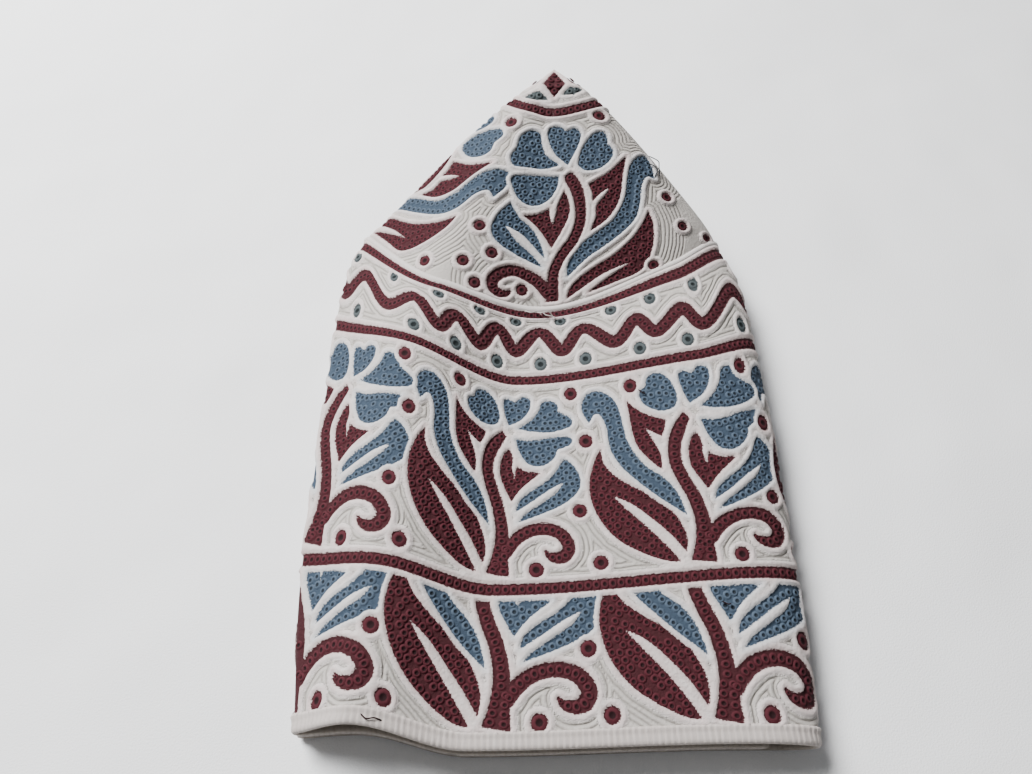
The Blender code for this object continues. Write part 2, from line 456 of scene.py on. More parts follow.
    def front_marks(self) -> tuple[slice, int, int]:
        """The front lane's points in a row, and the points at the outermost right and the left fold."""
        front = slice(self.lane_points + self.wrap_points, self.lane_points * 2 + self.wrap_points)
        return front, front.start - self.wrap_points // 2, front.stop + self.fold_points // 2

    def band_row(self, up: float) -> tuple[Points, Points, Points]:
        """Makes one row of the band, with the plants' own pitch on the front and the rest eased behind.

        Args:
            up: The distance up from the rim.

        Returns:
            The row, each point's turn, and the turns of the left fold, the outermost right and the lower
            left fold.
        """
        row = self.row_points(self.stations(up), 0.0, 1.0)
        length, whole = self.lengths(row)
        front, front_start, front_end = self.front_marks()
        pitch = float(np.interp(up, *zip(*self.pitches)))
        stem = float(np.interp(-(self.stem_x + self.shift[0]), -row[front, 0], length[front]))
        right = (stem - length[front_start]) / pitch
        left = (stem - length[front_end]) / pitch
        hidden_pitch = (whole - (right - left) * pitch) / (PLANTS - (right - left))
        shares = (stem - length) / pitch
        shares[:front_start] = right + (length[front_start] - length[:front_start]) / hidden_pitch
        shares[front_end:] = left - (length[front_end:] - length[front_end]) / hidden_pitch
        return row, shares / PLANTS, np.array([left, right, shares[0]]) / PLANTS

    def crown_row(self, in_from_seam: float) -> tuple[Points, Points, Points]:
        """Makes one row of the crown.

        Args:
            in_from_seam: The distance from the seam towards the tip.

        Returns:
            The row, each point's turn, and the turns of the left fold, the outermost right and the lower
            left fold.
        """
        share = 1 - in_from_seam / self.crown_radius
        groove_share = 1 - max(1 - share / self.groove_full_share, 0.0) ** 2
        row = self.row_points(self.crown_stations(share), self.tip_low * (1 - share), groove_share)
        length, whole = self.lengths(row)
        axis_x = self.crown_axis_x[0] * share + self.crown_axis_x[1] * (1 - share)
        front, front_start, front_end = self.front_marks()
        axis = float(np.interp(-(axis_x + self.shift[0]), -row[front, 0], length[front]))
        turns = (axis - length) / whole
        return row, turns, turns[[front_end, front_start, 0]]

    @staticmethod
    def lengths(row: Points) -> tuple[Points, float]:
        """The length along a closed row up to each point, and its whole length."""
        steps = np.linalg.norm(np.roll(row, -1, axis=0) - row, axis=1)
        return np.concatenate([[0.0], np.cumsum(steps)[:-1]]), float(steps.sum())


@dataclass(frozen=True)
class Patch:
    """A coloured shape: smooth runs that meet in corners, each starting where the last one ends."""

    thread: Thread
    runs: tuple[Chart, ...]

    def outline(self) -> Points:
        """Draws the shape's closed outline, without repeating its first point."""
        drawn = []
        last = self.runs[-1][-1]
        for run in self.runs:
            curve = curve_through(np.array([last, *run] if drawn else run, float))
            drawn.append(curve if not drawn else curve[1:])
            last = run[-1]
        line = np.vstack(drawn)
        closed = np.allclose(line[0], line[-1])
        return line[:-1] if closed else line


@dataclass(frozen=True)
class Vine:
    """A coloured stroke: its path as (x, y, width), and the pitch of the row of stitches along it."""

    thread: Thread
    path: Chart
    pitch: float = 2.15
    ring: float = 1.35
    double_from: float = 4.7
    end_gap: float = 0.3
    side_gap: float = 0.25
    overlap: float = 0.05
    steps: int = 8

    def stroke(self) -> Points:
        """Draws the path as a smooth curve, widths included."""
        return curve_through(np.array(self.path, float), self.steps)

    def outline(self) -> Points:
        """Draws the closed outline of the stroke."""
        return stroke_outline(self.stroke())

    def stitches(self) -> Points:
        """Places the stitches in one row, or two where the stroke is wide.

        Returns:
            Rows of x, y, half size along, half size across and way along.
        """
        placed = spaced_along(self.stroke(), self.pitch, self.end_gap)
        x, y, wide, way = placed.T
        half = np.full(len(placed), self.pitch / 2 + self.overlap)
        single = np.column_stack([x, y, half, np.minimum(wide / 2 - self.side_gap, self.ring), way])
        doubled = single[wide > self.double_from]
        rows = [single[wide <= self.double_from]]
        off = wide[wide > self.double_from] / 4
        for side in (-1, 1):
            row = doubled.copy()
            row[:, 0] -= side * off * np.sin(doubled[:, 4])
            row[:, 1] += side * off * np.cos(doubled[:, 4])
            row[:, 3] = np.minimum(off, self.ring)
            rows.append(row)
        return np.vstack(rows)


def stroke_outline(stroke: Points) -> Points:
    """Draws the closed outline of a path that has a width at each point.

    Args:
        stroke: The path as (x, y, width).

    Returns:
        The outline's points.
    """
    ways = np.gradient(stroke[:, :2], axis=0)
    ways /= np.maximum(np.linalg.norm(ways, axis=1, keepdims=True), 1e-9)
    across = np.column_stack([-ways[:, 1], ways[:, 0]]) * stroke[:, 2:3] / 2
    return np.vstack([stroke[:, :2] + across, (stroke[:, :2] - across)[::-1]])


@dataclass(frozen=True)
class Plant:
    """The flowering plant of the band, from the foot of its stem, and the one of the crown, in its disc."""

    stem: Vine = Vine(Thread.MAROON, (
        (0.2, 0.0, 7.4), (0.9, 4.5, 5.4), (1.4, 9.5, 4.5), (1.3, 14.0, 4.2), (0.0, 20.0, 4.0),
        (-2.2, 25.5, 3.9), (-3.7, 30.5, 3.8), (-3.2, 35.5, 3.9), (-1.1, 39.8, 3.8), (1.9, 43.4, 2.4)))
    scroll: Vine = Vine(Thread.MAROON, (
        (2.6, 6.0, 3.6), (5.0, 9.4, 4.0), (8.5, 12.0, 3.9), (12.8, 13.3, 3.8), (17.0, 13.1, 3.8),
        (20.7, 11.5, 4.0), (23.0, 8.0, 4.2), (21.9, 5.3, 4.1), (19.9, 4.5, 3.5), (18.0, 4.7, 3.0),
        (16.3, 5.5, 2.0), (15.1, 7.0, 0.7)))
    petals: tuple[Patch, ...] = (
        Patch(Thread.BLUE, (
            (( -9.3, 52.6), (-8.6, 55.0), (-5.5, 56.0), (-2.0, 54.2), (0.0, 49.5), (-1.2, 46.0), (-6.0, 45.2),
             (-10.5, 47.5), (-11.7, 51.0), (-9.3, 52.6)),)),
        Patch(Thread.BLUE, (
            ((3.5, 46.3), (2.1, 50.0), (1.5, 54.3), (3.2, 55.3), (6.0, 54.4)),
            ((8.8, 56.1), (11.5, 55.2), (11.3, 52.0), (8.5, 48.6), (3.5, 46.3)))),
        Patch(Thread.BLUE, (
            ((6.8, 45.4), (11.5, 48.0), (14.5, 51.0), (16.0, 54.0), (19.0, 54.4), (21.5, 52.9), (21.6, 50.8)),
            ((23.8, 49.5), (26.2, 48.1), (26.4, 46.2), (24.5, 45.0), (19.0, 44.0), (12.0, 44.4),
             (6.8, 45.4)))),
        Patch(Thread.BLUE, (
            ((5.9, 42.0), (11.5, 41.4), (18.0, 42.0), (24.3, 42.2), (26.2, 41.1), (25.0, 39.4), (20.6, 38.0)),
            ((19.8, 35.8), (17.2, 33.8), (14.0, 33.0), (10.3, 33.9), (7.6, 37.3), (5.9, 42.0)))),
    )
    forks: tuple[Patch, ...] = (
        Patch(Thread.MAROON, (
            ((-16.0, 49.6), (-13.5, 46.8), (-9.5, 44.3), (-4.5, 42.6)), ((-5.3, 40.6), (-6.5, 38.2)),
            ((-8.7, 39.2), (-11.6, 41.2)), ((-9.8, 38.0), (-8.2, 34.5), (-7.7, 32.0), (-8.0, 28.4)),
            ((-11.2, 31.6), (-14.0, 35.2), (-15.3, 39.5), (-15.6, 44.5), (-16.0, 49.6)))),
        Patch(Thread.MAROON, (
            ((4.0, 38.7), (5.1, 35.8), (4.8, 32.5), (5.6, 28.8)), ((5.9, 31.0), (6.4, 33.1)),
            ((9.2, 31.6), (14.6, 30.7)), ((10.5, 28.0), (7.3, 25.3), (4.5, 21.8)),
            ((2.3, 25.8), (0.6, 29.5), (0.7, 34.0), (2.2, 37.3), (4.0, 38.7)))),
    )
    hook: Patch = Patch(Thread.BLUE, (
        ((-28.4, 43.9), (-30.3, 48.2), (-29.2, 52.0), (-26.0, 53.6), (-22.0, 52.3), (-19.1, 48.5),
         (-18.0, 43.0), (-17.0, 37.0), (-13.0, 30.3), (-7.8, 26.0), (-4.5, 21.0), (-2.5, 13.9)),
        ((-6.0, 17.0), (-10.0, 20.3), (-15.0, 25.0), (-20.0, 30.4), (-22.6, 36.0), (-23.1, 42.0),
         (-24.4, 45.6), (-26.3, 46.5), (-28.4, 43.9))))
    big_leaf: Patch = Patch(Thread.MAROON, (
        ((-25.5, 36.2), (-25.1, 32.0), (-22.5, 28.0), (-17.5, 24.2), (-12.0, 21.0), (-7.5, 16.8),
         (-4.6, 11.5), (-3.6, 7.0), (-4.3, 2.9)),
        ((-8.0, 8.6), (-12.5, 13.6), (-17.5, 18.3), (-23.5, 21.8)),
        ((-19.4, 17.0), (-14.5, 11.6), (-10.0, 6.0), (-6.0, 0.3)),
        ((-11.0, 1.3), (-17.5, 4.5), (-23.5, 9.0), (-27.7, 15.0), (-29.7, 21.5), (-29.5, 27.0), (-27.9, 32.0),
         (-25.5, 36.2))))
    veined: Patch = Patch(Thread.BLUE, (
        ((23.0, 35.1), (25.8, 33.0), (27.8, 29.5), (27.8, 25.8), (24.5, 22.3), (19.5, 19.7), (12.5, 17.3),
         (6.5, 15.4)),
        ((9.7, 18.2), (15.0, 21.4), (19.8, 24.4), (22.5, 27.8)), ((17.0, 25.2), (11.5, 21.9), (5.9, 18.6)),
        ((7.2, 21.9), (11.0, 24.9), (15.5, 27.4), (19.3, 30.5), (21.5, 33.5), (23.0, 35.1))))
    dots: Chart = ((-14.0, 54.2), (-33.0, 54.5), (-29.4, 39.1), (-32.6, 17.9), (-27.8, 2.2), (10.6, 1.3))

    def shapes(self) -> list[Patch | Vine]:
        """Every coloured shape but the dots."""
        return [self.stem, self.scroll, *self.petals, *self.forks, self.hook, self.big_leaf, self.veined]


@dataclass(frozen=True)
class CrownPlant(Plant):
    """The plant of one sector of the crown: x across, y out from the tip."""

    stem: Vine = Vine(Thread.MAROON, (
        (1.8, 78.8, 4.0), (1.8, 74.0, 3.5), (2.1, 69.0, 3.2), (4.3, 64.0, 3.2), (7.7, 59.3, 3.3),
        (9.6, 54.0, 3.3),
        (9.7, 48.8, 3.5), (8.5, 43.0, 3.8), (6.3, 38.8, 3.7), (5.2, 37.3, 2.4)), 2.0)
    scroll: Vine = Vine(Thread.MAROON, (
        (0.9, 76.8, 3.4), (-3.0, 72.0, 3.8), (-9.0, 69.3, 3.5), (-13.3, 70.1, 3.6), (-16.2, 72.6, 3.7),
        (-16.4, 75.2, 3.4), (-14.6, 76.7, 2.8), (-12.3, 76.8, 2.0), (-10.8, 75.7, 0.7)), 2.0)
    petals: tuple[Patch, ...] = (
        Patch(Thread.BLUE, (
            ((2.7, 34.0), (-1.5, 30.5), (-3.2, 26.5), (-3.8, 23.2), (-6.7, 22.3), (-9.8, 24.3),
             (-11.0, 28.4)),
            ((-12.8, 31.6), (-11.8, 34.6), (-8.0, 34.9), (-2.0, 35.0), (2.7, 34.0)))),
        Patch(Thread.BLUE, (
            ((5.3, 34.2), (8.3, 27.5), (9.0, 23.3), (7.0, 21.4), (4.3, 22.3)),
            ((1.9, 20.8), (-0.8, 21.3), (-1.3, 24.2), (0.9, 29.8), (5.3, 34.2)))),
        Patch(Thread.BLUE, (
            ((8.5, 34.3), (9.3, 29.5), (11.8, 24.3), (14.3, 21.6), (16.7, 22.2), (17.3, 25.7)),
            ((19.2, 28.5), (18.5, 32.2), (15.2, 35.6), (11.0, 36.2), (8.5, 34.3)))),
        Patch(Thread.BLUE, (
            ((2.6, 37.8), (2.0, 41.5), (0.0, 45.0), (-3.5, 47.2), (-7.3, 47.2), (-10.2, 45.2), (-11.8, 42.0),
             (-12.4, 39.2), (-10.8, 38.0), (-5.0, 37.4), (2.6, 37.8)),)),
    )
    forks: tuple[Patch, ...] = (
        Patch(Thread.MAROON, (
            ((-8.2, 51.0), (-3.5, 50.1), (0.0, 48.3)), ((0.2, 51.0), (1.2, 53.8)), ((1.9, 51.0),
                                                                                    (2.6, 47.0), (4.5, 42.7)),
            ((6.2, 47.0), (6.0, 51.5), (3.7, 56.5), (1.0, 61.5)), ((-1.8, 56.8), (-5.0, 53.2),
                                                                   (-8.2, 51.0)))),
        Patch(Thread.MAROON, (
            ((23.2, 29.5), (20.5, 34.0), (17.5, 37.5), (12.0, 41.0)), ((13.2, 44.0), (13.5, 47.0)),
            ((16.0, 44.4), (18.8, 42.2)), ((17.5, 45.0), (14.8, 48.7), (14.6, 52.5), (13.0, 57.1)),
            ((18.5, 53.2), (22.0, 46.5), (22.7, 38.0), (23.2, 29.5)))),
    )
    hook: Patch = Patch(Thread.BLUE, (
        ((6.0, 71.5), (6.3, 67.0), (9.5, 61.8), (14.5, 58.0), (19.7, 54.3), (22.8, 48.5), (23.5, 42.0),
         (24.0, 35.5), (26.0, 29.8), (29.3, 27.2), (31.8, 31.0), (32.7, 36.8)),
        ((30.0, 36.6), (28.6, 40.5), (28.4, 46.5), (27.3, 53.0), (23.5, 58.0), (18.0, 62.3), (12.0, 66.0),
         (6.0, 71.5))))
    big_leaf: Patch = Patch(Thread.MAROON, (
        ((6.2, 78.4), (6.9, 75.5), (9.7, 72.3), (14.5, 69.2), (20.5, 66.0), (26.0, 61.0), (29.3, 55.5),
         (31.0, 50.2)),
        ((32.7, 55.0), (33.1, 62.0), (31.9, 68.6), (29.0, 72.8), (23.0, 74.9), (17.0, 76.5), (12.6, 77.4)),
        ((18.7, 73.6), (26.3, 68.9)), ((17.4, 71.9), (11.0, 75.5), (6.2, 78.4))))
    veined: Patch = Patch(Thread.BLUE, (
        ((-12.2, 47.3), (-15.8, 51.5), (-17.6, 56.5), (-15.8, 60.6), (-10.5, 63.7), (-5.5, 65.8),
         (-1.3, 67.8)),
        ((-5.0, 63.4), (-9.8, 59.6), (-13.6, 55.0)), ((-8.6, 57.0), (-4.6, 60.6), (-0.8, 65.0)),
        ((-2.2, 60.3), (-5.0, 55.3), (-9.3, 51.6), (-12.2, 47.3))))
    dots: Chart = (
        (-12.6, 18.6), (-21.1, 55.7), (-17.1, 64.5), (-25.5, 67.7), (-37.3, 67.0), (-21.9, 74.6),
        (-7.5, 75.1))


@dataclass(frozen=True)
class Hand:
    """How far one hand-sewn plant strays from the drawing: its left half, its right half and its height."""

    left: float = 1.0
    right: float = 1.0
    tall: float = 1.0

    def moved(self, points: Points, x: float, y: float) -> Points:
        """The drawing's points with this hand's strays and the foot of the stem at a place."""
        moved = points.copy()
        moved[:, 0] = x + points[:, 0] * np.where(points[:, 0] < 0, self.left, self.right)
        moved[:, 1] = y + points[:, 1] * self.tall
        return moved


@dataclass
class StitchMap:
    """Distances from flat cloth to its coloured shapes, one grid for each thread, below 0 inside.

    A shape keeps a cord's width away from the ones that were stamped before it. The quilting's welts echo
    every shape but the dots, so their distances have a grid of their own.
    """

    low: tuple[float, float]
    high: tuple[float, float]
    reach: float
    cell: float = 0.3
    apart: float = 1.45
    xs: Points = field(init=False)
    ys: Points = field(init=False)
    grids: dict[Thread, Points] = field(init=False)
    taken: Points = field(init=False)
    welts: Points = field(init=False)

    def __post_init__(self) -> None:
        """Lays out empty grids."""
        self.xs = np.arange(self.low[0], self.high[0] + self.cell, self.cell)
        self.ys = np.arange(self.low[1], self.high[1] + self.cell, self.cell)
        self.taken = np.full((len(self.ys), len(self.xs)), self.reach)
        self.welts = self.taken.copy()
        self.grids = {thread: self.taken.copy() for thread in Thread}

    def stamp(self, thread: Thread, outline: Points, joined: bool = False, echoed: bool = True) -> None:
        """Adds one shape.

        Args:
            thread: The shape's thread.
            outline: Its closed outline.
            joined: Whether it may grow out of another shape.
            echoed: Whether the welts echo it.
        """
        near, far = outline.min(axis=0) - self.reach, outline.max(axis=0) + self.reach
        columns = slice(*np.searchsorted(self.xs, (near[0], far[0])))
        rows = slice(*np.searchsorted(self.ys, (near[1], far[1])))
        x, y = np.meshgrid(self.xs[columns], self.ys[rows])
        if not x.size:
            return
        gaps = outline_gap(outline, x.ravel(), y.ravel()).reshape(x.shape)
        taken = self.taken[rows, columns]
        if not joined:
            gaps = np.maximum(gaps, self.apart - taken)
        grid = self.grids[thread]
        grid[rows, columns] = np.minimum(grid[rows, columns], gaps)
        self.taken[rows, columns] = np.minimum(taken, gaps)
        if echoed:
            self.welts[rows, columns] = np.minimum(self.welts[rows, columns], gaps)

    def gap(self, thread: Thread, x: Points, y: Points) -> Points:
        """Reads the distance to one thread's nearest shape, below 0 inside it."""
        return self.read(self.grids[thread], x, y)

    def gaps(self, x: Points, y: Points) -> dict[str, Points]:
        """Reads every thread's distances and the welts', by the names of their attributes."""
        found = {thread.value: self.gap(thread, x, y) for thread in Thread}
        found[WELTS] = self.read(self.welts, x, y)
        return found

    def read(self, grid: Points, x: Points, y: Points) -> Points:
        """Reads one of the grids between its cells."""
        across = np.clip((x - self.xs[0]) / self.cell, 0, len(self.xs) - 1.001)
        along = np.clip((y - self.ys[0]) / self.cell, 0, len(self.ys) - 1.001)
        i, j = across.astype(int), along.astype(int)
        u, v = across - i, along - j
        near = grid[j, i] * (1 - u) + grid[j, i + 1] * u
        far = grid[j + 1, i] * (1 - u) + grid[j + 1, i + 1] * u
        return near * (1 - v) + far * v


def outline_gap(outline: Points, x: Points, y: Points) -> Points:
    """Measures points against a closed outline.

    Args:
        outline: The outline's points.
        x: The points' places across.
        y: The points' places along.

    Returns:
        Each point's distance to the outline, below 0 inside it.
    """
    nearest = np.full(x.shape, np.inf)
    inside = np.zeros(x.shape, bool)
    for (ax, ay), (bx, by) in zip(outline, np.roll(outline, -1, axis=0)):
        run, rise = bx - ax, by - ay
        share = np.clip(((x - ax) * run + (y - ay) * rise) / max(run * run + rise * rise, 1e-12), 0.0, 1.0)
        nearest = np.minimum(nearest, (x - ax - share * run) ** 2 + (y - ay - share * rise) ** 2)
        if ay != by:
            inside ^= ((ay > y) != (by > y)) & (x < ax + (y - ay) * run / rise)
    return np.where(inside, -1.0, 1.0) * np.sqrt(nearest)


def disc(x: float, y: float, radius: float, sides: int = 20) -> Points:
    """The outline of a round dot."""
    angles = np.arange(sides) * 2 * math.pi / sides
    return np.column_stack([x + radius * np.cos(angles), y + radius * np.sin(angles)])


def dot_ring(x: float, y: float, radius: float, inset: float = 0.1) -> Points:
    """The one large ring stitch of a round dot."""
    return np.array([(x, y, radius - inset, radius - inset, 0.0)])


def cut_above(outline: Points, limit: float) -> Points:
    """Cuts an outline off above a line.

    Args:
        outline: The closed outline.
        limit: The line's place.

    Returns:
        What is left below it, or an empty array.
    """
    kept = []
    for start, end in zip(outline, np.roll(outline, -1, axis=0)):
        if start[1] <= limit:
            kept.append(start)
        if (start[1] <= limit) != (end[1] <= limit):
            kept.append(start + (end - start) * (limit - start[1]) / (end[1] - start[1]))
    return np.array(kept).reshape(-1, 2)


def turned(points: Points, angle: float, lean: float = 0.0) -> Points:
    """Turns points of the crown's disc round its tip.

    Args:
        points: The points; the first two columns are their place.
        angle: The turn in radians.
        lean: The further turn for each millimetre that a point is nearer the tip than LEAN_FROM.

    Returns:
        The turned points.
    """
    out = np.hypot(points[:, 0], points[:, 1])
    angles = np.arctan2(points[:, 0], points[:, 1]) + angle + lean * np.maximum(LEAN_FROM - out, 0.0)
    moved = points.copy()
    moved[:, 0] = out * np.sin(angles)
    moved[:, 1] = out * np.cos(angles)
    return moved


@dataclass
class Stitches:
    """Ring stitches of one thread on the flat cloth: x, y, half size along, half size across, way along."""

    thread: Thread
    rows: list[Points] = field(default_factory=list)

    def add(self, table: Points) -> None:
        """Adds rows of stitches."""
        if len(table):
            self.rows.append(table)

    def kept(self, drawn: StitchMap, least: float = 0.45, over: float = 0.1, shortest: float = 0.8) -> Points:
        """Finds the stitches that lie well inside their thread's shapes.

        Args:
            drawn: The map of the shapes.
            least: The least depth of a stitch's middle.
            over: How far past its shape's edge a stitch may reach.
            shortest: The least half size along.

        Returns:
            The stitches, drawn in where they would reach past their shapes.
        """
        if not self.rows:
            return np.empty((0, 5))
        table = np.vstack(self.rows)
        depth = -drawn.gap(self.thread, table[:, 0], table[:, 1])
        table, depth = table[depth > least], depth[depth > least]
        table[:, 3] = np.minimum(table[:, 3], depth + over)
        table[:, 2] = np.minimum(table[:, 2], np.maximum(depth + over, shortest))
        return table


@dataclass(frozen=True)
class RingFiller:
    """How ring stitches are packed: along the edge first, then inwards, as the embroiderer goes."""

    pitch: float = 2.1
    ring: float = 1.2
    first_row: float = 1.12
    row_step: float = 1.85
    least_depth: float = 0.6
    cell: float = 0.2
    closest_share: float = 0.93
    off_row_cost: float = 0.9
    depth_cost: float = 0.12
    edge_over: float = 0.12
    small_nearer: float = 0.8

    def fill(self, outline: Points) -> Points:
        """Packs a shape with rings.

        Args:
            outline: The shape's closed outline.

        Returns:
            Rows of x, y, half size along, half size across and way along.
        """
        low, high = outline.min(axis=0), outline.max(axis=0)
        spots = np.meshgrid(*(np.arange(start, end, self.cell) for start, end in zip(low, high)))
        x, y = (places.ravel() for places in spots)
        depth = -outline_gap(outline, x, y)
        kept = depth > self.least_depth
        x, y, depth = x[kept], y[kept], depth[kept]
        near = np.full(x.shape, np.inf)
        closest = self.pitch * self.closest_share
        ring_row = np.maximum(np.round((depth - self.first_row) / self.row_step), 0)
        off_row = np.abs(depth - self.first_row - ring_row * self.row_step)
        placed = []
        while np.any(near >= closest):
            off_pitch = np.abs(near - self.pitch) if placed else 0.0
            score = off_pitch + self.off_row_cost * off_row + self.depth_cost * depth
            best = int(np.argmin(np.where(near >= closest, score, np.inf)))
            size = min(self.ring, depth[best] + self.edge_over)
            placed.append((x[best], y[best], size, size, 0.0))
            gaps = np.hypot(x - x[best], y - y[best]) + (self.ring - size) * self.small_nearer
            near = np.minimum(near, gaps)
        return np.array(placed).reshape(-1, 5)

    def pack(self, shape: Patch | Vine) -> Points:
        """The stitches of a shape: a stroke's own rows, or rings packed into a patch."""
        return shape.stitches() if isinstance(shape, Vine) else self.fill(shape.outline())


def linked(name: str, data: bpy.types.ID) -> bpy.types.Object:
    """Makes an object of some data and links it to the scene."""
    made = bpy.data.objects.new(name, data)
    bpy.context.scene.collection.objects.link(made)
    return made


def mesh_piece(name: str, points: Points, faces: list[tuple[int, ...]]) -> bpy.types.Object:
    """Makes a smooth mesh object from points in millimetres.

    Args:
        name: The piece's name.
        points: Its points in the frame.
        faces: Its faces, turning left seen from outside.

    Returns:
        The object, linked to the scene.
    """
    mesh = bpy.data.meshes.new(name)
    mesh.from_pydata((points * MM).tolist(), [], faces)
    mesh.shade_smooth()
    return linked(name, mesh)


def add_values(piece: bpy.types.Object, name: str, values: Points) -> None:
    """Stores a number at each of a piece's points."""
    attribute = piece.data.attributes.new(name, "FLOAT", "POINT")
    attribute.data.foreach_set("value", np.asarray(values, np.float32))


def add_vectors(piece: bpy.types.Object, name: str, values: Points) -> None:
    """Stores a vector at each of a piece's points."""
    attribute = piece.data.attributes.new(name, "FLOAT_VECTOR", "POINT")
    attribute.data.foreach_set("vector", np.asarray(values, np.float32).ravel())


def declare(piece: bpy.types.Object, slot: str, *nodes: str) -> None:
    """Ties a piece to the cap's body, hides the nodes that it stands for and logs its size."""
    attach(piece, BODY)
    if nodes:
        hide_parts(*nodes)
    LOG.info("%s: %d points, %d faces", piece.name, len(piece.data.vertices), len(piece.data.polygons))


@dataclass(frozen=True)
class Relief:
    """How high the cloth stands over the middle of its wall beside and inside the coloured shapes."""

    ground: float = 0.52
    inside: float = 0.38
    cord: float = 0.62
    cord_wide: float = CORD_WIDE
    edge_in: float = 0.25
    edge_wide: float = 0.4

    def lift(self, gap: Points) -> Points:
        """Works out the lift.

        Args:
            gap: Distances to the nearest coloured shape, below 0 inside it.

        Returns:
            The lift at each place.
        """
        rise = np.clip((gap + self.edge_in) / self.edge_wide, 0.0, 1.0)
        step = self.inside + (self.ground - self.inside) * rise
        across = np.clip(1 - ((gap - self.cord_wide / 2) / (self.cord_wide / 2)) ** 2, 0.0, None)
        return step + self.cord * np.sqrt(across) * (gap > 0)


@dataclass
class WallMesh:
    """Closed rows of points round the cap, joined into faces that each keep a finish number."""

    points: list[Points] = field(default_factory=list)
    faces: list[tuple[int, ...]] = field(default_factory=list)
    finishes: list[int] = field(default_factory=list)
    count: int = 0

    def add_row(self, row: Points) -> np.ndarray:
        """Adds a row of points and returns their numbers."""
        numbers = np.arange(self.count, self.count + len(row))
        self.points.append(row)
        self.count += len(row)
        return numbers

    def join(self, lower: np.ndarray, upper: np.ndarray, inner: bool = False) -> None:
        """Joins two rows.

        Args:
            lower: The row nearer the rim.
            upper: The row nearer the tip, with as many points as the lower, half as many, or one.
            inner: Whether the faces look to the inside.
        """
        after = np.roll(lower, -1)
        if len(upper) == 1:
            made = np.column_stack([lower, after, np.full(len(lower), upper[0])])
        elif len(upper) == len(lower):
            made = np.column_stack([lower, after, np.roll(upper, -1), upper])
        else:
            made = np.column_stack([lower[::2], lower[1::2], after[1::2], np.roll(upper, -1), upper])
        if inner:
            made = made[:, ::-1]
        self.faces.extend(map(tuple, made.tolist()))
        self.finishes.extend([int(inner)] * len(made))

    def join_all(self, rows: list[np.ndarray], inner: bool = False) -> None:
        """Joins each row to the next one in a list."""
        for lower, upper in zip(rows, rows[1:]):
            self.join(lower, upper, inner)

    def piece(self, name: str, *materials: bpy.types.Material) -> bpy.types.Object:
        """Makes the object, with one material for the outside and one for the inside."""
        points = np.vstack(self.points)
        points[:, 2] = np.maximum(points[:, 2], FLOOR_GAP)
        piece = mesh_piece(name, points, self.faces)
        for material in materials:
            piece.data.materials.append(material)
        piece.data.polygons.foreach_set("material_index", np.minimum(self.finishes, len(materials) - 1))
        return piece


@dataclass
class GapTable:
    """The cloth's distances to its shapes, gathered row by row and then stored on the piece."""

    reach: float
    rows: dict[str, list[Points]] = field(default_factory=dict)

    def add(self, found: dict[str, Points]) -> Points:
        """Adds a row's distances and returns those to the nearest coloured shape."""
        for name, values in found.items():
            self.rows.setdefault(name, []).append(values)
        return np.minimum.reduce([found[thread.value] for thread in Thread])

    def skip(self, count: int) -> None:
        """Adds a row of plain cloth."""
        for rows in self.rows.values():
            rows.append(np.full(count, self.reach))

    def store(self, piece: bpy.types.Object) -> None:
        """Stores every distance as an attribute of the piece."""
        for name, rows in self.rows.items():
            add_values(piece, name, np.concatenate(rows))


def near_spans(turns: Points, spans: Spans, margin: float) -> np.ndarray:
    """Finds the turns that lie in any of some stretches, or within a margin of them."""
    found = np.zeros(turns.shape, bool)
    for start, end in spans:
        middle, half = (start + end) / 2, (end - start) / 2 + margin
        found |= np.abs((turns - middle + 0.5) % 1.0 - 0.5) < half
    return found


def even_columns(spans: Spans, whole: float, fine: float, coarse: float, margin: float,
                 divisor: int = 2, samples: int = 4000) -> Points:
    """Spaces the columns of a closed wall, close together where it shows.

    Args:
        spans: The stretches of turns that show.
        whole: The length round the wall.
        fine: The step where it shows.
        coarse: The step elsewhere.
        margin: How far past the stretches the close step goes on.
        divisor: A number that the count is a multiple of.
        samples: How many places round the wall the spacing is reckoned at.

    Returns:
        The turns of the columns, rising from the hidden side.
    """
    turns = np.arange(0.0, 1.0, 1 / samples) - 0.5
    density = np.where(near_spans(turns, spans, margin / whole), 1 / fine, 1 / coarse)
    total = np.concatenate([[0.0], np.cumsum(density)]) * whole / len(turns)
    count = int(math.ceil(total[-1] / divisor) * divisor)
    wanted = np.arange(count) * total[-1] / count
    return np.interp(wanted, total, np.append(turns, 0.5))


@dataclass
class FlatPattern:
    """Coloured shapes on a flat map, with the ring stitches that are packed into them."""

    filler: RingFiller = field(default_factory=RingFiller)
    dot_radius: float = 2.0
    map: StitchMap = field(init=False)
    stitches: dict[Thread, Stitches] = field(init=False)

    def open_map(self, low: tuple[float, float], high: tuple[float, float], reach: float) -> None:
        """Lays out an empty map, without stitches."""
        self.map = StitchMap(low, high, reach)
        self.stitches = {thread: Stitches(thread) for thread in Thread}

    def add_dot(self, thread: Thread, x: float, y: float) -> None:
        """Adds a dot with its one large ring."""
        self.map.stamp(thread, disc(x, y, self.dot_radius), echoed=False)
        self.stitches[thread].add(dot_ring(x, y, self.dot_radius))


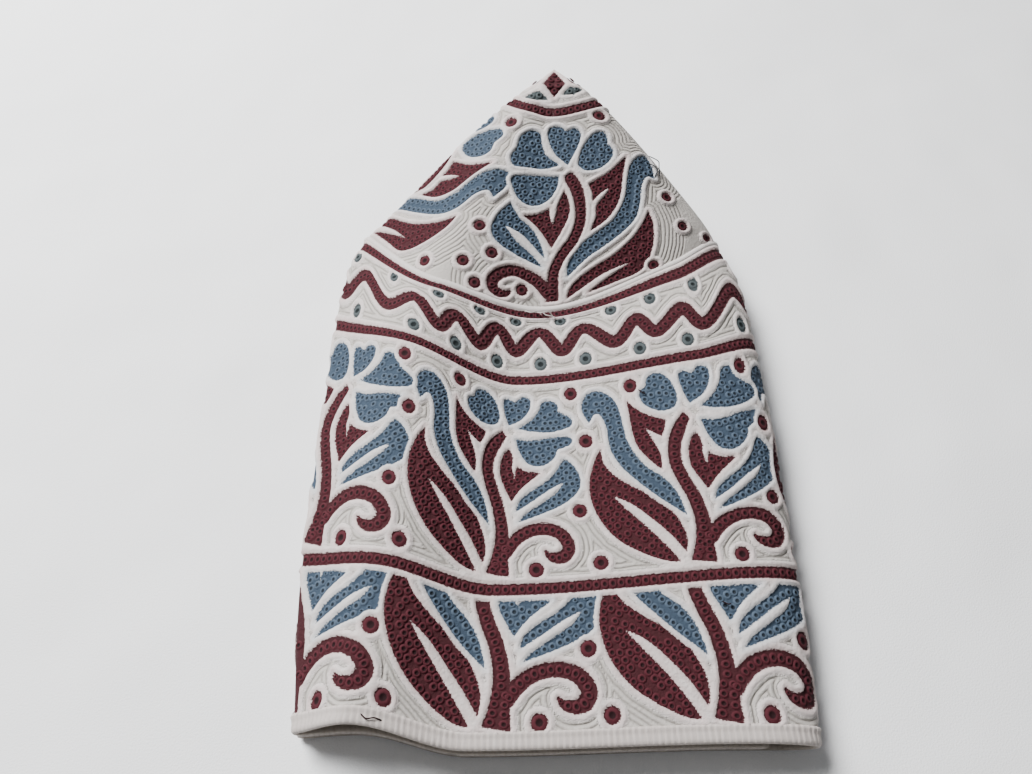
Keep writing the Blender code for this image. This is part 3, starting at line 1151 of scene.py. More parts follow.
@dataclass
class BandPattern(FlatPattern):
    """The band's flat pattern: two rows of plants, three straight lines and the zigzag with its dots."""

    plant: Plant = field(default_factory=Plant)
    main_foot: float = 42.6
    low_foot: float = 4.6
    low_limit: float = 38.0
    dot_radius: float = 2.15
    lines: tuple[tuple[float, float], ...] = ((38.7, 3.2), (102.8, 3.1), (128.7, 3.1))
    line_pitch: float = 2.2
    corners: Chart = (
        (-58.1, 119.6), (-42.6, 112.7), (-31.0, 119.2), (-22.6, 111.2), (-16.1, 117.6), (-7.6, 111.5),
        (-1.1, 119.4), (5.5, 112.4), (13.7, 119.8), (21.1, 111.9), (28.7, 119.2), (38.9, 111.8),
        (46.8, 118.4), (53.0, 112.6), (62.9, 118.4), (69.7, 111.9), (84.7, 118.1))
    hidden_teeth: int = 24
    zig_low: float = 112.2
    zig_high: float = 118.8
    zig_wide: float = 4.4
    grey_high: float = 124.2
    grey_low: float = 108.0
    start: float = -0.25
    reach: float = 7.0
    first_hand: Hand = Hand(0.93, 0.86, 0.97)
    stray: float = 0.015
    seed: int = 11
    whole: float = RIM_ROUND

    def __post_init__(self) -> None:
        """Draws the map and packs its stitches."""
        self.open_map((self.start * self.whole, 0.0), ((self.start + 1) * self.whole, BAND_TALL), self.reach)
        for up, wide in self.lines:
            ends = ((self.map.low[0], up, wide), (self.map.high[0], up, wide))
            self.add(Vine(Thread.MAROON, ends, self.line_pitch))
        self.add_zigzag()
        self.add_dots()
        self.add_plants()

    def add(self, shape: Patch | Vine) -> None:
        """Adds one shape with its stitches where it is drawn."""
        self.map.stamp(shape.thread, shape.outline())
        self.stitches[shape.thread].add(self.filler.pack(shape))

    def add_zigzag(self) -> None:
        """Adds the zigzag and its grey dots: its own corners on the front, and even ones elsewhere."""
        first, last = self.corners[0][0], self.corners[-1][0]
        step = (self.whole - (last - first)) / (2 * self.hidden_teeth)
        before = [(first - step * n, n) for n in range(int((first - self.map.low[0]) / step) + 2, 0, -1)]
        after = [(last + step * n, n) for n in range(1, int((self.map.high[0] - last) / step) + 3)]
        heights = self.zig_high, self.zig_low
        hidden = [[(x, heights[n % 2]) for x, n in side] for side in (before, after)]
        corners = (*hidden[0], *self.corners, *hidden[1])
        self.add(Vine(Thread.MAROON, tuple((x, up, self.zig_wide) for x, up in corners), self.line_pitch))
        parting = (self.zig_low + self.zig_high) / 2
        for x, up in corners:
            self.add_dot(Thread.GREY, x, self.grey_low if up > parting else self.grey_high)

    def around(self) -> list[int]:
        """The plants' numbers all round the band, and one more at each end of the map."""
        first = int(self.start * PLANTS) - 1
        return list(range(first, first + PLANTS + 2))

    def add_dots(self) -> None:
        """Adds the maroon dots between the plants of both rows."""
        for step in self.around():
            for x, y in self.plant.dots:
                self.add_dot(Thread.MAROON, step * RIM_PITCH + x, self.main_foot + y)
                if self.low_foot + y < self.low_limit - 2 * self.dot_radius:
                    self.add_dot(Thread.MAROON, step * RIM_PITCH + x, self.low_foot + y)

    def low_shapes(self) -> list[Patch | Vine]:
        """The shapes of a plant that the lower line cuts: no left fork or petals, a blue right fork."""
        plant = self.plant
        fork = Patch(Thread.BLUE, plant.forks[1].runs)
        return [plant.stem, plant.scroll, fork, plant.hook, plant.big_leaf, plant.veined]

    def add_plants(self) -> None:
        """Adds every plant of both rows, each by its own hand."""
        strays = np.random.default_rng(self.seed).uniform(-self.stray, self.stray, (PLANTS, 3))
        hands = [Hand(*(1 + stray)) for stray in strays]
        main = (self.plant.shapes(), self.main_foot, self.first_hand)
        low = (self.low_shapes(), self.low_foot, Hand())
        for shapes, foot, first in (main, low):
            for shape in shapes:
                outline, rings = shape.outline(), self.filler.pack(shape)
                for step in self.around():
                    hand = hands[step % PLANTS] if step else first
                    drawn = hand.moved(outline, step * RIM_PITCH, foot)
                    if foot < self.low_limit:
                        drawn = cut_above(drawn, self.low_limit)
                    self.map.stamp(shape.thread, drawn, joined=shape is self.plant.scroll)
                    self.stitches[shape.thread].add(hand.moved(rings, step * RIM_PITCH, foot))

    def gaps(self, turn: Points, up: Points) -> dict[str, Points]:
        """Measures places on the band against the coloured shapes.

        Args:
            turn: Shares of a turn.
            up: Distances up from the rim.

        Returns:
            The distance to each thread's nearest shape and the welts' one, below 0 inside, by attribute name.
        """
        x = ((turn - self.start) % 1.0 + self.start) * self.whole
        return self.map.gaps(x, up)

    def placed(self, thread: Thread) -> Points:
        """Places one thread's stitches on the whole band: turn, up, half along, half across, way."""
        table = self.stitches[thread].kept(self.map)
        inside = (table[:, 0] >= self.map.low[0]) & (table[:, 0] < self.map.high[0])
        table = table[inside]
        table[:, 0] /= self.whole
        return table


@dataclass
class CrownPattern(FlatPattern):
    """The crown's flat pattern: six plants round the tip, a ring line, diamonds and small triangles.

    A plant stands at its angle in degrees, and leans further the nearer it is to the tip.
    """

    radius: float = CROWN_RADIUS
    plant: CrownPlant = field(default_factory=CrownPlant)
    places: Chart = ((0, 0), (-60, -0.35), (76, 0.45), (132, 0), (188, 0), (244, 0))
    dot_radius: float = 1.85
    right_dots: Chart = ((13.7, 15.1), (37.0, 43.7), (42.6, 54.9), (52.7, 57.5), (33.8, 70.6))
    ring: float = 15.75
    ring_wide: float = 3.0
    ring_pitch: float = 2.1
    diamonds: tuple[float, ...] = (0, 68, 124, 180, 238, 298)
    diamond: Chart = ((0.0, 0.8), (-2.9, 5.6), (0.1, 10.5), (2.9, 5.4))
    triangles: tuple[Chart, ...] = (
        ((-4.3, 8.1), (-9.2, 9.5), (-5.2, 11.6), (-1.4, 11.4)), ((4.6, 4.7), (2.1, 9.7), (5.6, 9.0),
                                                                 (7.6, 6.3)))
    triangle: Chart = ((0.0, 7.8), (-3.6, 11.4), (0.0, 12.3), (3.6, 11.4))
    triangle_angles: tuple[int, ...] = (90, 150, 210, 270)
    reach: float = 11.0
    margin: float = 2.0

    def __post_init__(self) -> None:
        """Draws the map of the disc and packs its stitches."""
        edge = self.radius + self.margin
        self.open_map((-edge, -edge), (edge, edge), self.reach)
        self.add_tip()
        self.add_dots()
        for shape in self.plant.shapes():
            outline, rings = shape.outline(), self.filler.pack(shape)
            rings[:, 4] = self.way(rings)
            for angle, lean in self.places:
                turn, more = math.radians(angle), math.radians(lean)
                self.map.stamp(shape.thread, turned(outline, turn, more), joined=shape is self.plant.scroll)
                self.stitches[shape.thread].add(turned(rings, turn, more))

    @staticmethod
    def way(rings: Points) -> Points:
        """Turns the stitches' ways on the disc into ways from the turn towards the tip."""
        return -(rings[:, 4] + np.arctan2(rings[:, 0], rings[:, 1]))

    def add(self, thread: Thread, outline: Points) -> None:
        """Adds one shape with its packed rings."""
        self.map.stamp(thread, outline)
        self.stitches[thread].add(self.filler.fill(outline))

    def add_turned_dot(self, x: float, y: float, angle: float) -> None:
        """Adds a maroon dot, turned round the tip."""
        self.add_dot(Thread.MAROON, *turned(np.array([(x, y)]), math.radians(angle))[0])

    def add_dots(self) -> None:
        """Adds the dots left of each plant, and those in the wide space right of the first."""
        for angle, _ in self.places:
            if angle != self.places[2][0]:
                for x, y in self.plant.dots:
                    self.add_turned_dot(x, y, angle)
        for x, y in self.right_dots:
            self.add_turned_dot(x, y, 0.0)

    def add_tip(self) -> None:
        """Adds the ring line, the diamonds and the triangles nearest the tip."""
        angles = np.radians(np.arange(0.0, 361.0, 5.0))
        wide = np.full(angles.shape, self.ring_wide)
        ring = np.column_stack([self.ring * np.sin(angles), self.ring * np.cos(angles), wide])
        self.map.stamp(Thread.MAROON, stroke_outline(ring))
        placed = Vine(Thread.MAROON, tuple(map(tuple, ring)), self.ring_pitch).stitches()
        placed[:, 4] = self.way(placed)
        self.stitches[Thread.MAROON].add(placed)
        for angle in self.diamonds:
            self.add(Thread.MAROON, turned(np.array(self.diamond), math.radians(angle)))
        for angle in self.triangle_angles:
            self.add(Thread.GREY, turned(np.array(self.triangle), math.radians(angle)))
        for chart in self.triangles:
            self.add(Thread.GREY, np.array(chart))

    def gaps(self, turn: Points, in_from_seam: Points) -> dict[str, Points]:
        """Measures places on the crown against the coloured shapes.

        Args:
            turn: Shares of a turn.
            in_from_seam: Distances in from the seam.

        Returns:
            The distance to each thread's nearest shape and the welts' one, below 0 inside, by attribute name.
        """
        angle = turn * 2 * math.pi
        out = self.radius - in_from_seam
        return self.map.gaps(out * np.sin(angle), out * np.cos(angle))

    def placed(self, thread: Thread) -> Points:
        """Places one thread's stitches on the crown: turn, in from the seam, half along and across, way."""
        table = self.stitches[thread].kept(self.map)
        angle = np.arctan2(table[:, 0], table[:, 1])
        out = np.hypot(table[:, 0], table[:, 1])
        table[:, 0] = angle / (2 * math.pi)
        table[:, 1] = self.radius - out
        return table[out < self.radius - self.margin]


def math_node(operation: str, swapped: bool = False) -> Callable[["Number", "Number | float"], "Number"]:
    """Makes the method of a Number that adds one Math node on it and another number.

    Args:
        operation: The node's operation.
        swapped: Whether the other number, a plain one, comes first.

    Returns:
        The method.
    """
    def reckoned(number: "Number", other: "Number | float") -> "Number":
        """Adds the node."""
        first, second = (Number(number.tree, other), number) if swapped else (number, other)
        return first.reckon(operation, second)
    return reckoned


@dataclass(frozen=True)
class Number:
    """A number in a shader, on a socket or plain, that adds Math nodes as it is reckoned with."""

    tree: "Tree"
    source: bpy.types.NodeSocket | float

    def reckon(self, operation: str, *others: "Number | float", clamp: bool = False) -> "Number":
        """Adds one Math node on this number and others."""
        settings = {"operation": operation, "use_clamp": clamp}
        node = self.tree.node("ShaderNodeMath", settings, dict(enumerate([self.source, *others])))
        return Number(self.tree, node.outputs[0])

    __add__ = __radd__ = math_node("ADD")
    __sub__, __rsub__ = math_node("SUBTRACT"), math_node("SUBTRACT", swapped=True)
    __mul__ = __rmul__ = math_node("MULTIPLY")
    __truediv__ = math_node("DIVIDE")
    least, most = math_node("MINIMUM"), math_node("MAXIMUM")

    def clamped(self) -> "Number":
        """This number, kept from 0 to 1."""
        return self.reckon("MULTIPLY", 1.0, clamp=True)

    def ribs(self, pitch: float) -> "Number":
        """Round ribs from 0 to 1 at a pitch."""
        return (self * (math.pi / pitch)).reckon("SINE").reckon("ABSOLUTE")


Colour = tuple[float, float, float]


class Tree:
    """A tree of nodes that code fills in."""

    def __init__(self, nodes: bpy.types.NodeTree) -> None:
        """Takes the empty tree."""
        self.nodes = nodes

    def node(self, kind: str, settings: dict[str, object], inputs: dict[str | int, object]) -> bpy.types.Node:
        """Adds a node.

        Args:
            kind: The node's type.
            settings: Its own settings, set first.
            inputs: Plain values or links for its sockets, by identifier, name or number.

        Returns:
            The node.
        """
        node = self.nodes.nodes.new(kind)
        for name, value in settings.items():
            setattr(node, name, value)
        by_identifier = {socket.identifier: socket for socket in node.inputs}
        for key, value in inputs.items():
            socket = by_identifier[key] if key in by_identifier else node.inputs[key]
            if isinstance(value, Number):
                value = value.source
            if isinstance(value, bpy.types.NodeSocket):
                self.nodes.links.new(value, socket)
            else:
                socket.default_value = value
        return node


class FinishTree(Tree):
    """The nodes of one material."""

    def __init__(self, name: str) -> None:
        """Makes the material with its shader."""
        self.material = bpy.data.materials.new(name)
        self.material.use_nodes = True
        super().__init__(self.material.node_tree)
        self.shader = self.nodes.nodes["Principled BSDF"]

    def attribute(self, name: str) -> Number:
        """A number stored on the piece's points."""
        return Number(self, self.node("ShaderNodeAttribute", {"attribute_name": name}, {}).outputs["Fac"])

    def noise(self, grain: float, detail: float = 2.0) -> Number:
        """Noise in the piece's own space, with a grain in millimetres."""
        place = self.node("ShaderNodeTexCoord", {}, {}).outputs["Object"]
        inputs = {"Vector": place, "Scale": 1 / (grain * MM), "Detail": detail}
        return Number(self, self.node("ShaderNodeTexNoise", {}, inputs).outputs[0])

    def mix(self, share: Number | float, low: object, high: object) -> bpy.types.NodeSocket:
        """Mixes two colours.

        Args:
            share: How much of the second, from 0 to 1.
            low: The first colour or its socket.
            high: The second colour or its socket.

        Returns:
            The mixed colour's socket.
        """
        low, high = ((*c, 1.0) if isinstance(c, tuple) else c for c in (low, high))
        inputs = {"Factor_Float": share, "A_Color": low, "B_Color": high}
        node = self.node("ShaderNodeMix", {"data_type": "RGBA"}, inputs)
        return next(socket for socket in node.outputs if socket.identifier == "Result_Color")

    def finish(self, colour: object, height: Number, deep: float, roughness: float,
               **constants: float) -> bpy.types.Material:
        """Links the shader's sockets.

        Args:
            colour: The base colour's socket.
            height: The relief, where 1 is as high as deep.
            deep: The relief's depth in millimetres.
            roughness: The shader's roughness.
            constants: Plain values of the shader's other sockets.

        Returns:
            The material.
        """
        bump = self.node("ShaderNodeBump", {}, {"Height": height, "Distance": deep * MM, "Strength": 1.0})
        self.nodes.links.new(colour, self.shader.inputs["Base Color"])
        self.nodes.links.new(bump.outputs["Normal"], self.shader.inputs["Normal"])
        self.shader.inputs["Roughness"].default_value = roughness
        for name, value in constants.items():
            self.shader.inputs[name.replace("_", " ")].default_value = value
        return self.material


@dataclass(frozen=True)
class QuiltedCloth:
    """Greyish white cotton in fine welts that echo the shapes, with painted shade in their grooves, bright
    satin cords, and dark thread inside.
    """

    ground: Colour = (0.45, 0.42, 0.39)
    # The tone of the painted shade in the welts' grooves.
    groove_shade: Colour = (0.23, 0.208, 0.185)
    satin: Colour = (0.62, 0.57, 0.55)
    satin_shade: Colour = (0.34, 0.30, 0.285)
    pink: Colour = (0.55, 0.41, 0.40)
    sky: Colour = (0.47, 0.52, 0.56)
    maroon: Colour = (0.040, 0.009, 0.012)
    blue: Colour = (0.036, 0.054, 0.080)
    grey: Colour = (0.042, 0.052, 0.055)
    cord_wide: float = CORD_WIDE
    cord_soft: float = 0.3
    echo_pitch: float = 1.3
    fray: float = 1.0
    edge: float = 0.1
    edge_soft: float = 0.14
    deep: float = 0.42

    def material(self) -> bpy.types.Material:
        """Makes the material."""
        tree = FinishTree("quilted_cloth")
        fray = (tree.noise(0.4, 1.0) - 0.5) * self.fray
        gaps = {thread: tree.attribute(thread.value) for thread in Thread}
        inks = {Thread.MAROON: self.maroon, Thread.BLUE: self.blue, Thread.GREY: self.grey}
        nearest = gaps[Thread.MAROON].least(gaps[Thread.BLUE]).least(gaps[Thread.GREY])
        beyond = (tree.attribute(WELTS) - self.cord_wide).most(0.0)
        outside = ((nearest - self.cord_wide + fray) / self.cord_soft).clamped()
        drift = tree.noise(5.0, 1.0)
        echo = (beyond + drift * 0.9).ribs(self.echo_pitch)
        mottle = tree.noise(2.4, 3.0)
        weave = tree.noise(0.24, 2.0)
        # Painted shade: the ground darkens in the welts' grooves, more or less with the mottle.
        sunk = (1 - echo) * (0.35 + mottle * 0.6)
        ground = tree.mix(sunk.clamped(), self.ground, self.groove_shade)
        satin = tree.mix((mottle * 1.4 + weave * 0.5 - 0.55).clamped() * 0.75, self.satin, self.satin_shade)
        colour = tree.mix(outside, satin, ground)
        for thread, tint in ((Thread.MAROON, self.pink), (Thread.BLUE, self.sky)):
            near = (1 - gaps[thread] / self.cord_wide).clamped()
            colour = tree.mix(near * (0.1 + mottle * 0.75), colour, tint)
        for thread, ink in inks.items():
            inside = ((self.edge - gaps[thread] - fray) / self.edge_soft).clamped()
            colour = tree.mix(inside, colour, ink)
        height = echo * outside * 0.7 + weave * 0.3 + tree.noise(0.8, 2.0) * 0.6
        return tree.finish(colour, height, self.deep, 0.9, Specular_IOR_Level=0.2)


@dataclass(frozen=True)
class RingThread:
    """Stranded thread of one colour, lighter on a ring's crest, with painted shade in the hole at its middle,
    over the dark ink below, and a little at its outer edge.
    """

    name: str
    hole: Colour
    dark: Colour
    light: Colour
    hole_wide: float = 0.46
    hole_soft: float = 0.16
    rim_shade_from: float = 0.88
    rim_shade: float = 0.15

    def material(self) -> bpy.types.Material:
        """Makes the material."""
        tree = FinishTree(self.name)
        strand = tree.noise(0.2, 2.0)
        patch = tree.noise(1.7, 2.0)
        out = tree.attribute("out")
        colour = tree.mix((strand * 0.8 + patch * 0.8 - 0.3).clamped(), self.dark, self.light)
        # Painted shade: the ring takes the hole tone in its middle, over the dark ink below, and a little of
        # it at its outer edge.
        hole = ((self.hole_wide + strand * self.hole_soft - out) / self.hole_soft).clamped()
        rim = ((out - self.rim_shade_from) / (1 - self.rim_shade_from)).clamped() * self.rim_shade
        colour = tree.mix(hole.most(rim), colour, self.hole)
        return tree.finish(colour, strand, 0.16, 0.8, Specular_IOR_Level=0.15)


@dataclass(frozen=True)
class SatinCord:
    """White satin stitch over a cord, its threads lying across it at a slant, with painted shade between
    them.
    """

    name: str = "satin_cord"
    white: Colour = (0.64, 0.595, 0.575)
    shade: Colour = (0.44, 0.40, 0.375)
    pitch: float = 0.42

    def material(self) -> bpy.types.Material:
        """Makes the material."""
        tree = FinishTree(self.name)
        slant = tree.attribute("along") + tree.attribute("across") * 0.5
        threads = slant.ribs(self.pitch)
        patch = tree.noise(1.6, 2.0)
        # Painted shade between the threads, where the ribs dip, mixed with random patches.
        colour = tree.mix(((1 - threads) * 0.5 + patch * 0.35).clamped(), self.white, self.shade)
        return tree.finish(colour, threads * 0.7 + tree.noise(0.3, 2.0) * 0.3, 0.1, 0.62, Sheen_Weight=0.15)


@dataclass(frozen=True)
class HemCloth:
    """White cotton turned over the edge, drawn into small ribs by its stitching, with painted shade between
    the ribs and on its underside, which is also partly the browner lining.
    """

    white: Colour = (0.53, 0.475, 0.45)
    shade: Colour = (0.31, 0.27, 0.24)
    # The underside's tone: painted shade, partly the browner lining.
    below: Colour = (0.27, 0.23, 0.19)
    rib: float = 1.5

    def material(self) -> bpy.types.Material:
        """Makes the material."""
        tree = FinishTree("hem_cloth")
        ribs = (tree.attribute("along") + tree.noise(3.0, 1.0) * 0.8).ribs(self.rib)
        patch = tree.noise(2.2, 3.0)
        # Painted shade between the ribs, mixed with random patches.
        colour = tree.mix(((1 - ribs) * 0.35 + patch * 0.35).clamped(), self.white, self.shade)
        # Painted shade on the side of the roll that turns under, partly the browner lining there.
        colour = tree.mix(tree.attribute("under") * (0.6 + patch * 0.4), colour, self.below)
        height = ribs * 0.5 + tree.noise(0.24, 2.0) * 0.35 + patch * 0.3
        return tree.finish(colour, height, 0.16, 0.88, Sheen_Weight=0.1)


@dataclass(frozen=True)
class LiningCloth:
    """The plain reverse of the cloth, dotted with the backs of the stitches."""

    light: Colour = (0.36, 0.31, 0.255)
    dark: Colour = (0.24, 0.20, 0.16)

    def material(self) -> bpy.types.Material:
        """Makes the material."""
        tree = FinishTree("lining_cloth")
        backs = tree.noise(1.1, 2.0)
        weave = tree.noise(0.25, 2.0)
        colour = tree.mix((backs * 0.8 + weave * 0.3 - 0.15).clamped(), self.light, self.dark)
        return tree.finish(colour, backs * 0.6 + weave * 0.4, 0.15, 0.9)


@dataclass(frozen=True)
class FloorCloth:
    """The pale cloth that the cap lies on."""

    light: Colour = (0.90, 0.905, 0.91)
    dark: Colour = (0.84, 0.845, 0.855)

    def material(self) -> bpy.types.Material:
        """Makes the material."""
        tree = FinishTree("floor_cloth")
        broad = tree.noise(90.0, 2.0)
        weave = tree.noise(0.5, 2.0)
        colour = tree.mix((broad * 0.8).clamped(), self.light, self.dark)
        return tree.finish(colour, broad * 0.9 + weave * 0.02, 6.0, 0.9)


@dataclass
class StitchLayer:
    """A tree that sets one small ring of thread at each point of a mesh, with named inputs for its sizes.

    A ring is a low disc, highest on a round crest and sunk at its middle. It keeps its distance out as "out".
    """

    sides: int = 8
    rows: int = 4
    crest: float = 0.66
    looseness: float = 0.06
    flat_over: float = 1.1
    flat_radius: float = 80.0
    least_flat: float = 0.8
    nudge: float = 1e-4
    seed: int = 5

    def inputs(self) -> dict[str, tuple[str, object]]:
        """The tree's named inputs: socket type and value."""
        return {
            "Columns": ("NodeSocketInt", self.sides + 1),
            "Rows": ("NodeSocketInt", self.rows + 1),
            "Crest": ("NodeSocketFloat", self.crest),
            "Smallest": ("NodeSocketFloat", 1 - self.looseness),
            "Largest": ("NodeSocketFloat", 1 + self.looseness),
            "Seed": ("NodeSocketInt", self.seed),
            "Thread": ("NodeSocketMaterial", None),
        }

    def ring(self, tree: Tree, given: bpy.types.bpy_prop_collection) -> bpy.types.NodeSocket:
        """Bends a grid into one ring of unit size.

        Args:
            tree: The tree.
            given: The tree's inputs.

        Returns:
            The ring's mesh.
        """
        flat = tree.node("GeometryNodeMeshGrid", {}, {
            "Vertices X": given["Columns"], "Vertices Y": given["Rows"]})
        spot = tree.node("GeometryNodeInputPosition", {}, {}).outputs[0]
        sides = tree.node("ShaderNodeSeparateXYZ", {}, {0: spot}).outputs
        angle = Number(tree, sides["X"]) * (-2 * math.pi)
        out = Number(tree, sides["Y"]) + 0.5
        crest = Number(tree, given["Crest"])
        off = (out - crest) / (1 - crest)
        height = (1 - off * off * off * off).most(0.0)
        bent = tree.node("ShaderNodeCombineXYZ", {}, {
            "X": out * angle.reckon("COSINE"), "Y": out * angle.reckon("SINE"), "Z": height})
        marked = tree.node("GeometryNodeStoreNamedAttribute", {"data_type": "FLOAT", "domain": "POINT"}, {
            "Geometry": flat.outputs["Mesh"], "Name": "out", "Value": out})
        moved = tree.node("GeometryNodeSetPosition", {}, {
            "Geometry": marked.outputs["Geometry"], "Position": bent.outputs[0]})
        closed = tree.node("GeometryNodeMergeByDistance", {}, {
            "Geometry": moved.outputs["Geometry"], "Distance": 1e-3})
        return closed.outputs["Geometry"]

    def tree(self) -> tuple[bpy.types.NodeTree, dict[str, str]]:
        """Builds the tree.

        Returns:
            The tree, and the identifier of each named input.
        """
        nodes = bpy.data.node_groups.new("ring_stitches", "GeometryNodeTree")
        face = nodes.interface
        face.new_socket("Geometry", in_out="INPUT", socket_type="NodeSocketGeometry")
        names = {name: face.new_socket(name, in_out="INPUT", socket_type=kind).identifier
                 for name, (kind, _) in self.inputs().items()}
        face.new_socket("Geometry", in_out="OUTPUT", socket_type="NodeSocketGeometry")
        tree = Tree(nodes)
        given = tree.node("NodeGroupInput", {}, {}).outputs
        loose = tree.node("FunctionNodeRandomValue", {"data_type": "FLOAT"}, {
            "Min_001": given["Smallest"], "Max_001": given["Largest"], "Seed": given["Seed"]})
        random = next(socket for socket in loose.outputs if socket.identifier == "Value_001")
        stored = {}
        for name in ("turn_by", "size"):
            kind = {"data_type": "FLOAT_VECTOR"}
            found = tree.node("GeometryNodeInputNamedAttribute", kind, {"Name": name}).outputs
            stored[name] = next(socket for socket in found if socket.enabled and socket.name == "Attribute")
        rotation = tree.node("FunctionNodeEulerToRotation", {}, {"Euler": stored["turn_by"]})
        scaled = tree.node("ShaderNodeVectorMath", {"operation": "SCALE"}, {
            0: stored["size"], "Scale": random})
        laid = tree.node("GeometryNodeInstanceOnPoints", {}, {
            "Points": given["Geometry"], "Instance": self.ring(tree, given),
            "Rotation": rotation.outputs["Rotation"], "Scale": scaled.outputs["Vector"]})
        real = tree.node("GeometryNodeRealizeInstances", {}, {"Geometry": laid.outputs["Instances"]})
        smooth = tree.node("GeometryNodeSetShadeSmooth", {}, {"Geometry": real.outputs["Geometry"]})
        dressed = tree.node("GeometryNodeSetMaterial", {}, {
            "Geometry": smooth.outputs["Geometry"], "Material": given["Thread"]})
        tree.node("NodeGroupOutput", {}, {"Geometry": dressed.outputs["Geometry"]})
        return nodes, names

    def lay(self, name: str, grid: ClothGrid, table: Points, lift: float, tall: float,
            material: bpy.types.Material) -> bpy.types.Object:
        """Lays stitches on the cloth as one plain mesh.

        Args:
            name: The piece's name.
            grid: The cloth that they lie on.
            table: Rows of turn, up, half size along, half size across and way along.
            lift: The height of their underside over the middle of the wall.
            tall: Their scale in height.
            material: Their thread.

        Returns:
            The piece.
        """
        turn, up = table[:, 0], table[:, 1]
        beside = self.flat_over / (2 * math.pi * self.flat_radius)
        agree = np.sum(grid.facing(turn - beside, up) * grid.facing(turn + beside, up), axis=1)
        table = table[agree > self.least_flat]
        turn, up, along, across, way = table.T
        normals = grid.facing(turn, up)
        points = grid.read(grid.points, turn, up) + normals * lift
        ahead = grid.read(grid.points, turn + self.nudge, up) - grid.read(grid.points, turn - self.nudge, up)
        ahead -= normals * np.sum(ahead * normals, axis=1, keepdims=True)
        ahead /= np.linalg.norm(ahead, axis=1, keepdims=True)
        square = np.cross(normals, ahead)
        forward = ahead * np.cos(way)[:, None] + square * np.sin(way)[:, None]
        side = np.cross(normals, forward)
        axes = np.stack([forward, side, normals], axis=2)
        eulers = [Matrix(matrix.tolist()).to_euler()[:] for matrix in axes]
        base = mesh_piece(f"{name}_points", points, [])
        add_vectors(base, "turn_by", np.array(eulers))
        add_vectors(base, "size", np.column_stack([along, across, np.full(len(table), tall)]) * MM)
        tree, names = self.tree()
        modifier = base.modifiers.new(name, "NODES")
        modifier.node_group = tree
        for label, (_, value) in self.inputs().items():
            modifier[names[label]] = material if label == "Thread" else value
        shown = base.evaluated_get(bpy.context.evaluated_depsgraph_get())
        mesh = bpy.data.meshes.new_from_object(shown)
        mesh.name = name
        spots = np.empty(len(mesh.vertices) * 3, np.float32)
        mesh.vertices.foreach_get("co", spots)
        spots[2::3] = np.maximum(spots[2::3], FLOOR_GAP * MM)
        mesh.vertices.foreach_set("co", spots)
        piece = linked(name, mesh)
        bpy.data.objects.remove(base, do_unlink=True)
        return piece


@dataclass
class Finishes:
    """Every finish of the cap, made once."""

    cloth: bpy.types.Material = field(default_factory=lambda: QuiltedCloth().material())
    satin: bpy.types.Material = field(default_factory=lambda: SatinCord().material())
    hem: bpy.types.Material = field(default_factory=lambda: HemCloth().material())
    lining: bpy.types.Material = field(default_factory=lambda: LiningCloth().material())
    threads: dict[Thread, bpy.types.Material] = field(init=False)

    def __post_init__(self) -> None:
        """Makes the coloured threads, each from its tone in the holes, which is painted shade over the dark
        ink, its darkest and its lightest.
        """
        tones = {
            Thread.MAROON: ((0.014, 0.004, 0.005), (0.046, 0.009, 0.013), (0.078, 0.016, 0.023)),
            Thread.BLUE: ((0.014, 0.020, 0.028), (0.043, 0.062, 0.090), (0.082, 0.115, 0.160)),
            Thread.GREY: ((0.010, 0.014, 0.015), (0.040, 0.050, 0.054), (0.090, 0.106, 0.110)),
        }
        self.threads = {}
        for thread, three in tones.items():
            self.threads[thread] = RingThread(f"{thread.name.lower()}_thread", *three).material()


@dataclass
class StitchWork:
    """The ring stitches of one cloth: whole rings where it shows, plainer ones in its folds."""

    grid: ClothGrid
    spans: Spans
    margin: float = 0.012
    fine: StitchLayer = field(default_factory=StitchLayer)
    plain: StitchLayer = field(default_factory=lambda: StitchLayer(sides=6, rows=2))
    lift: float = 0.4
    tall: float = 0.32

    def lay(self, name: str, tables: dict[Thread, Points], finishes: Finishes) -> None:
        """Lays all stitches of the cloth.

        Args:
            name: The cloth's name, which the pieces' names start with.
            tables: Each thread's stitches as turn, up, half along, half across and way.
            finishes: The cap's finishes.
        """
        for thread, table in tables.items():
            seen = near_spans(table[:, 0], self.spans, self.margin)
            for layer, part, where in ((self.fine, seen, "front"), (self.plain, ~seen, "folds")):
                label = f"{name}_{thread.name.lower()}_stitches_{where}"
                thread_finish = finishes.threads[thread]
                piece = layer.lay(label, self.grid, table[part], self.lift, self.tall, thread_finish)
                declare(piece, "maroon_thread" if thread is Thread.MAROON else "blue_thread")


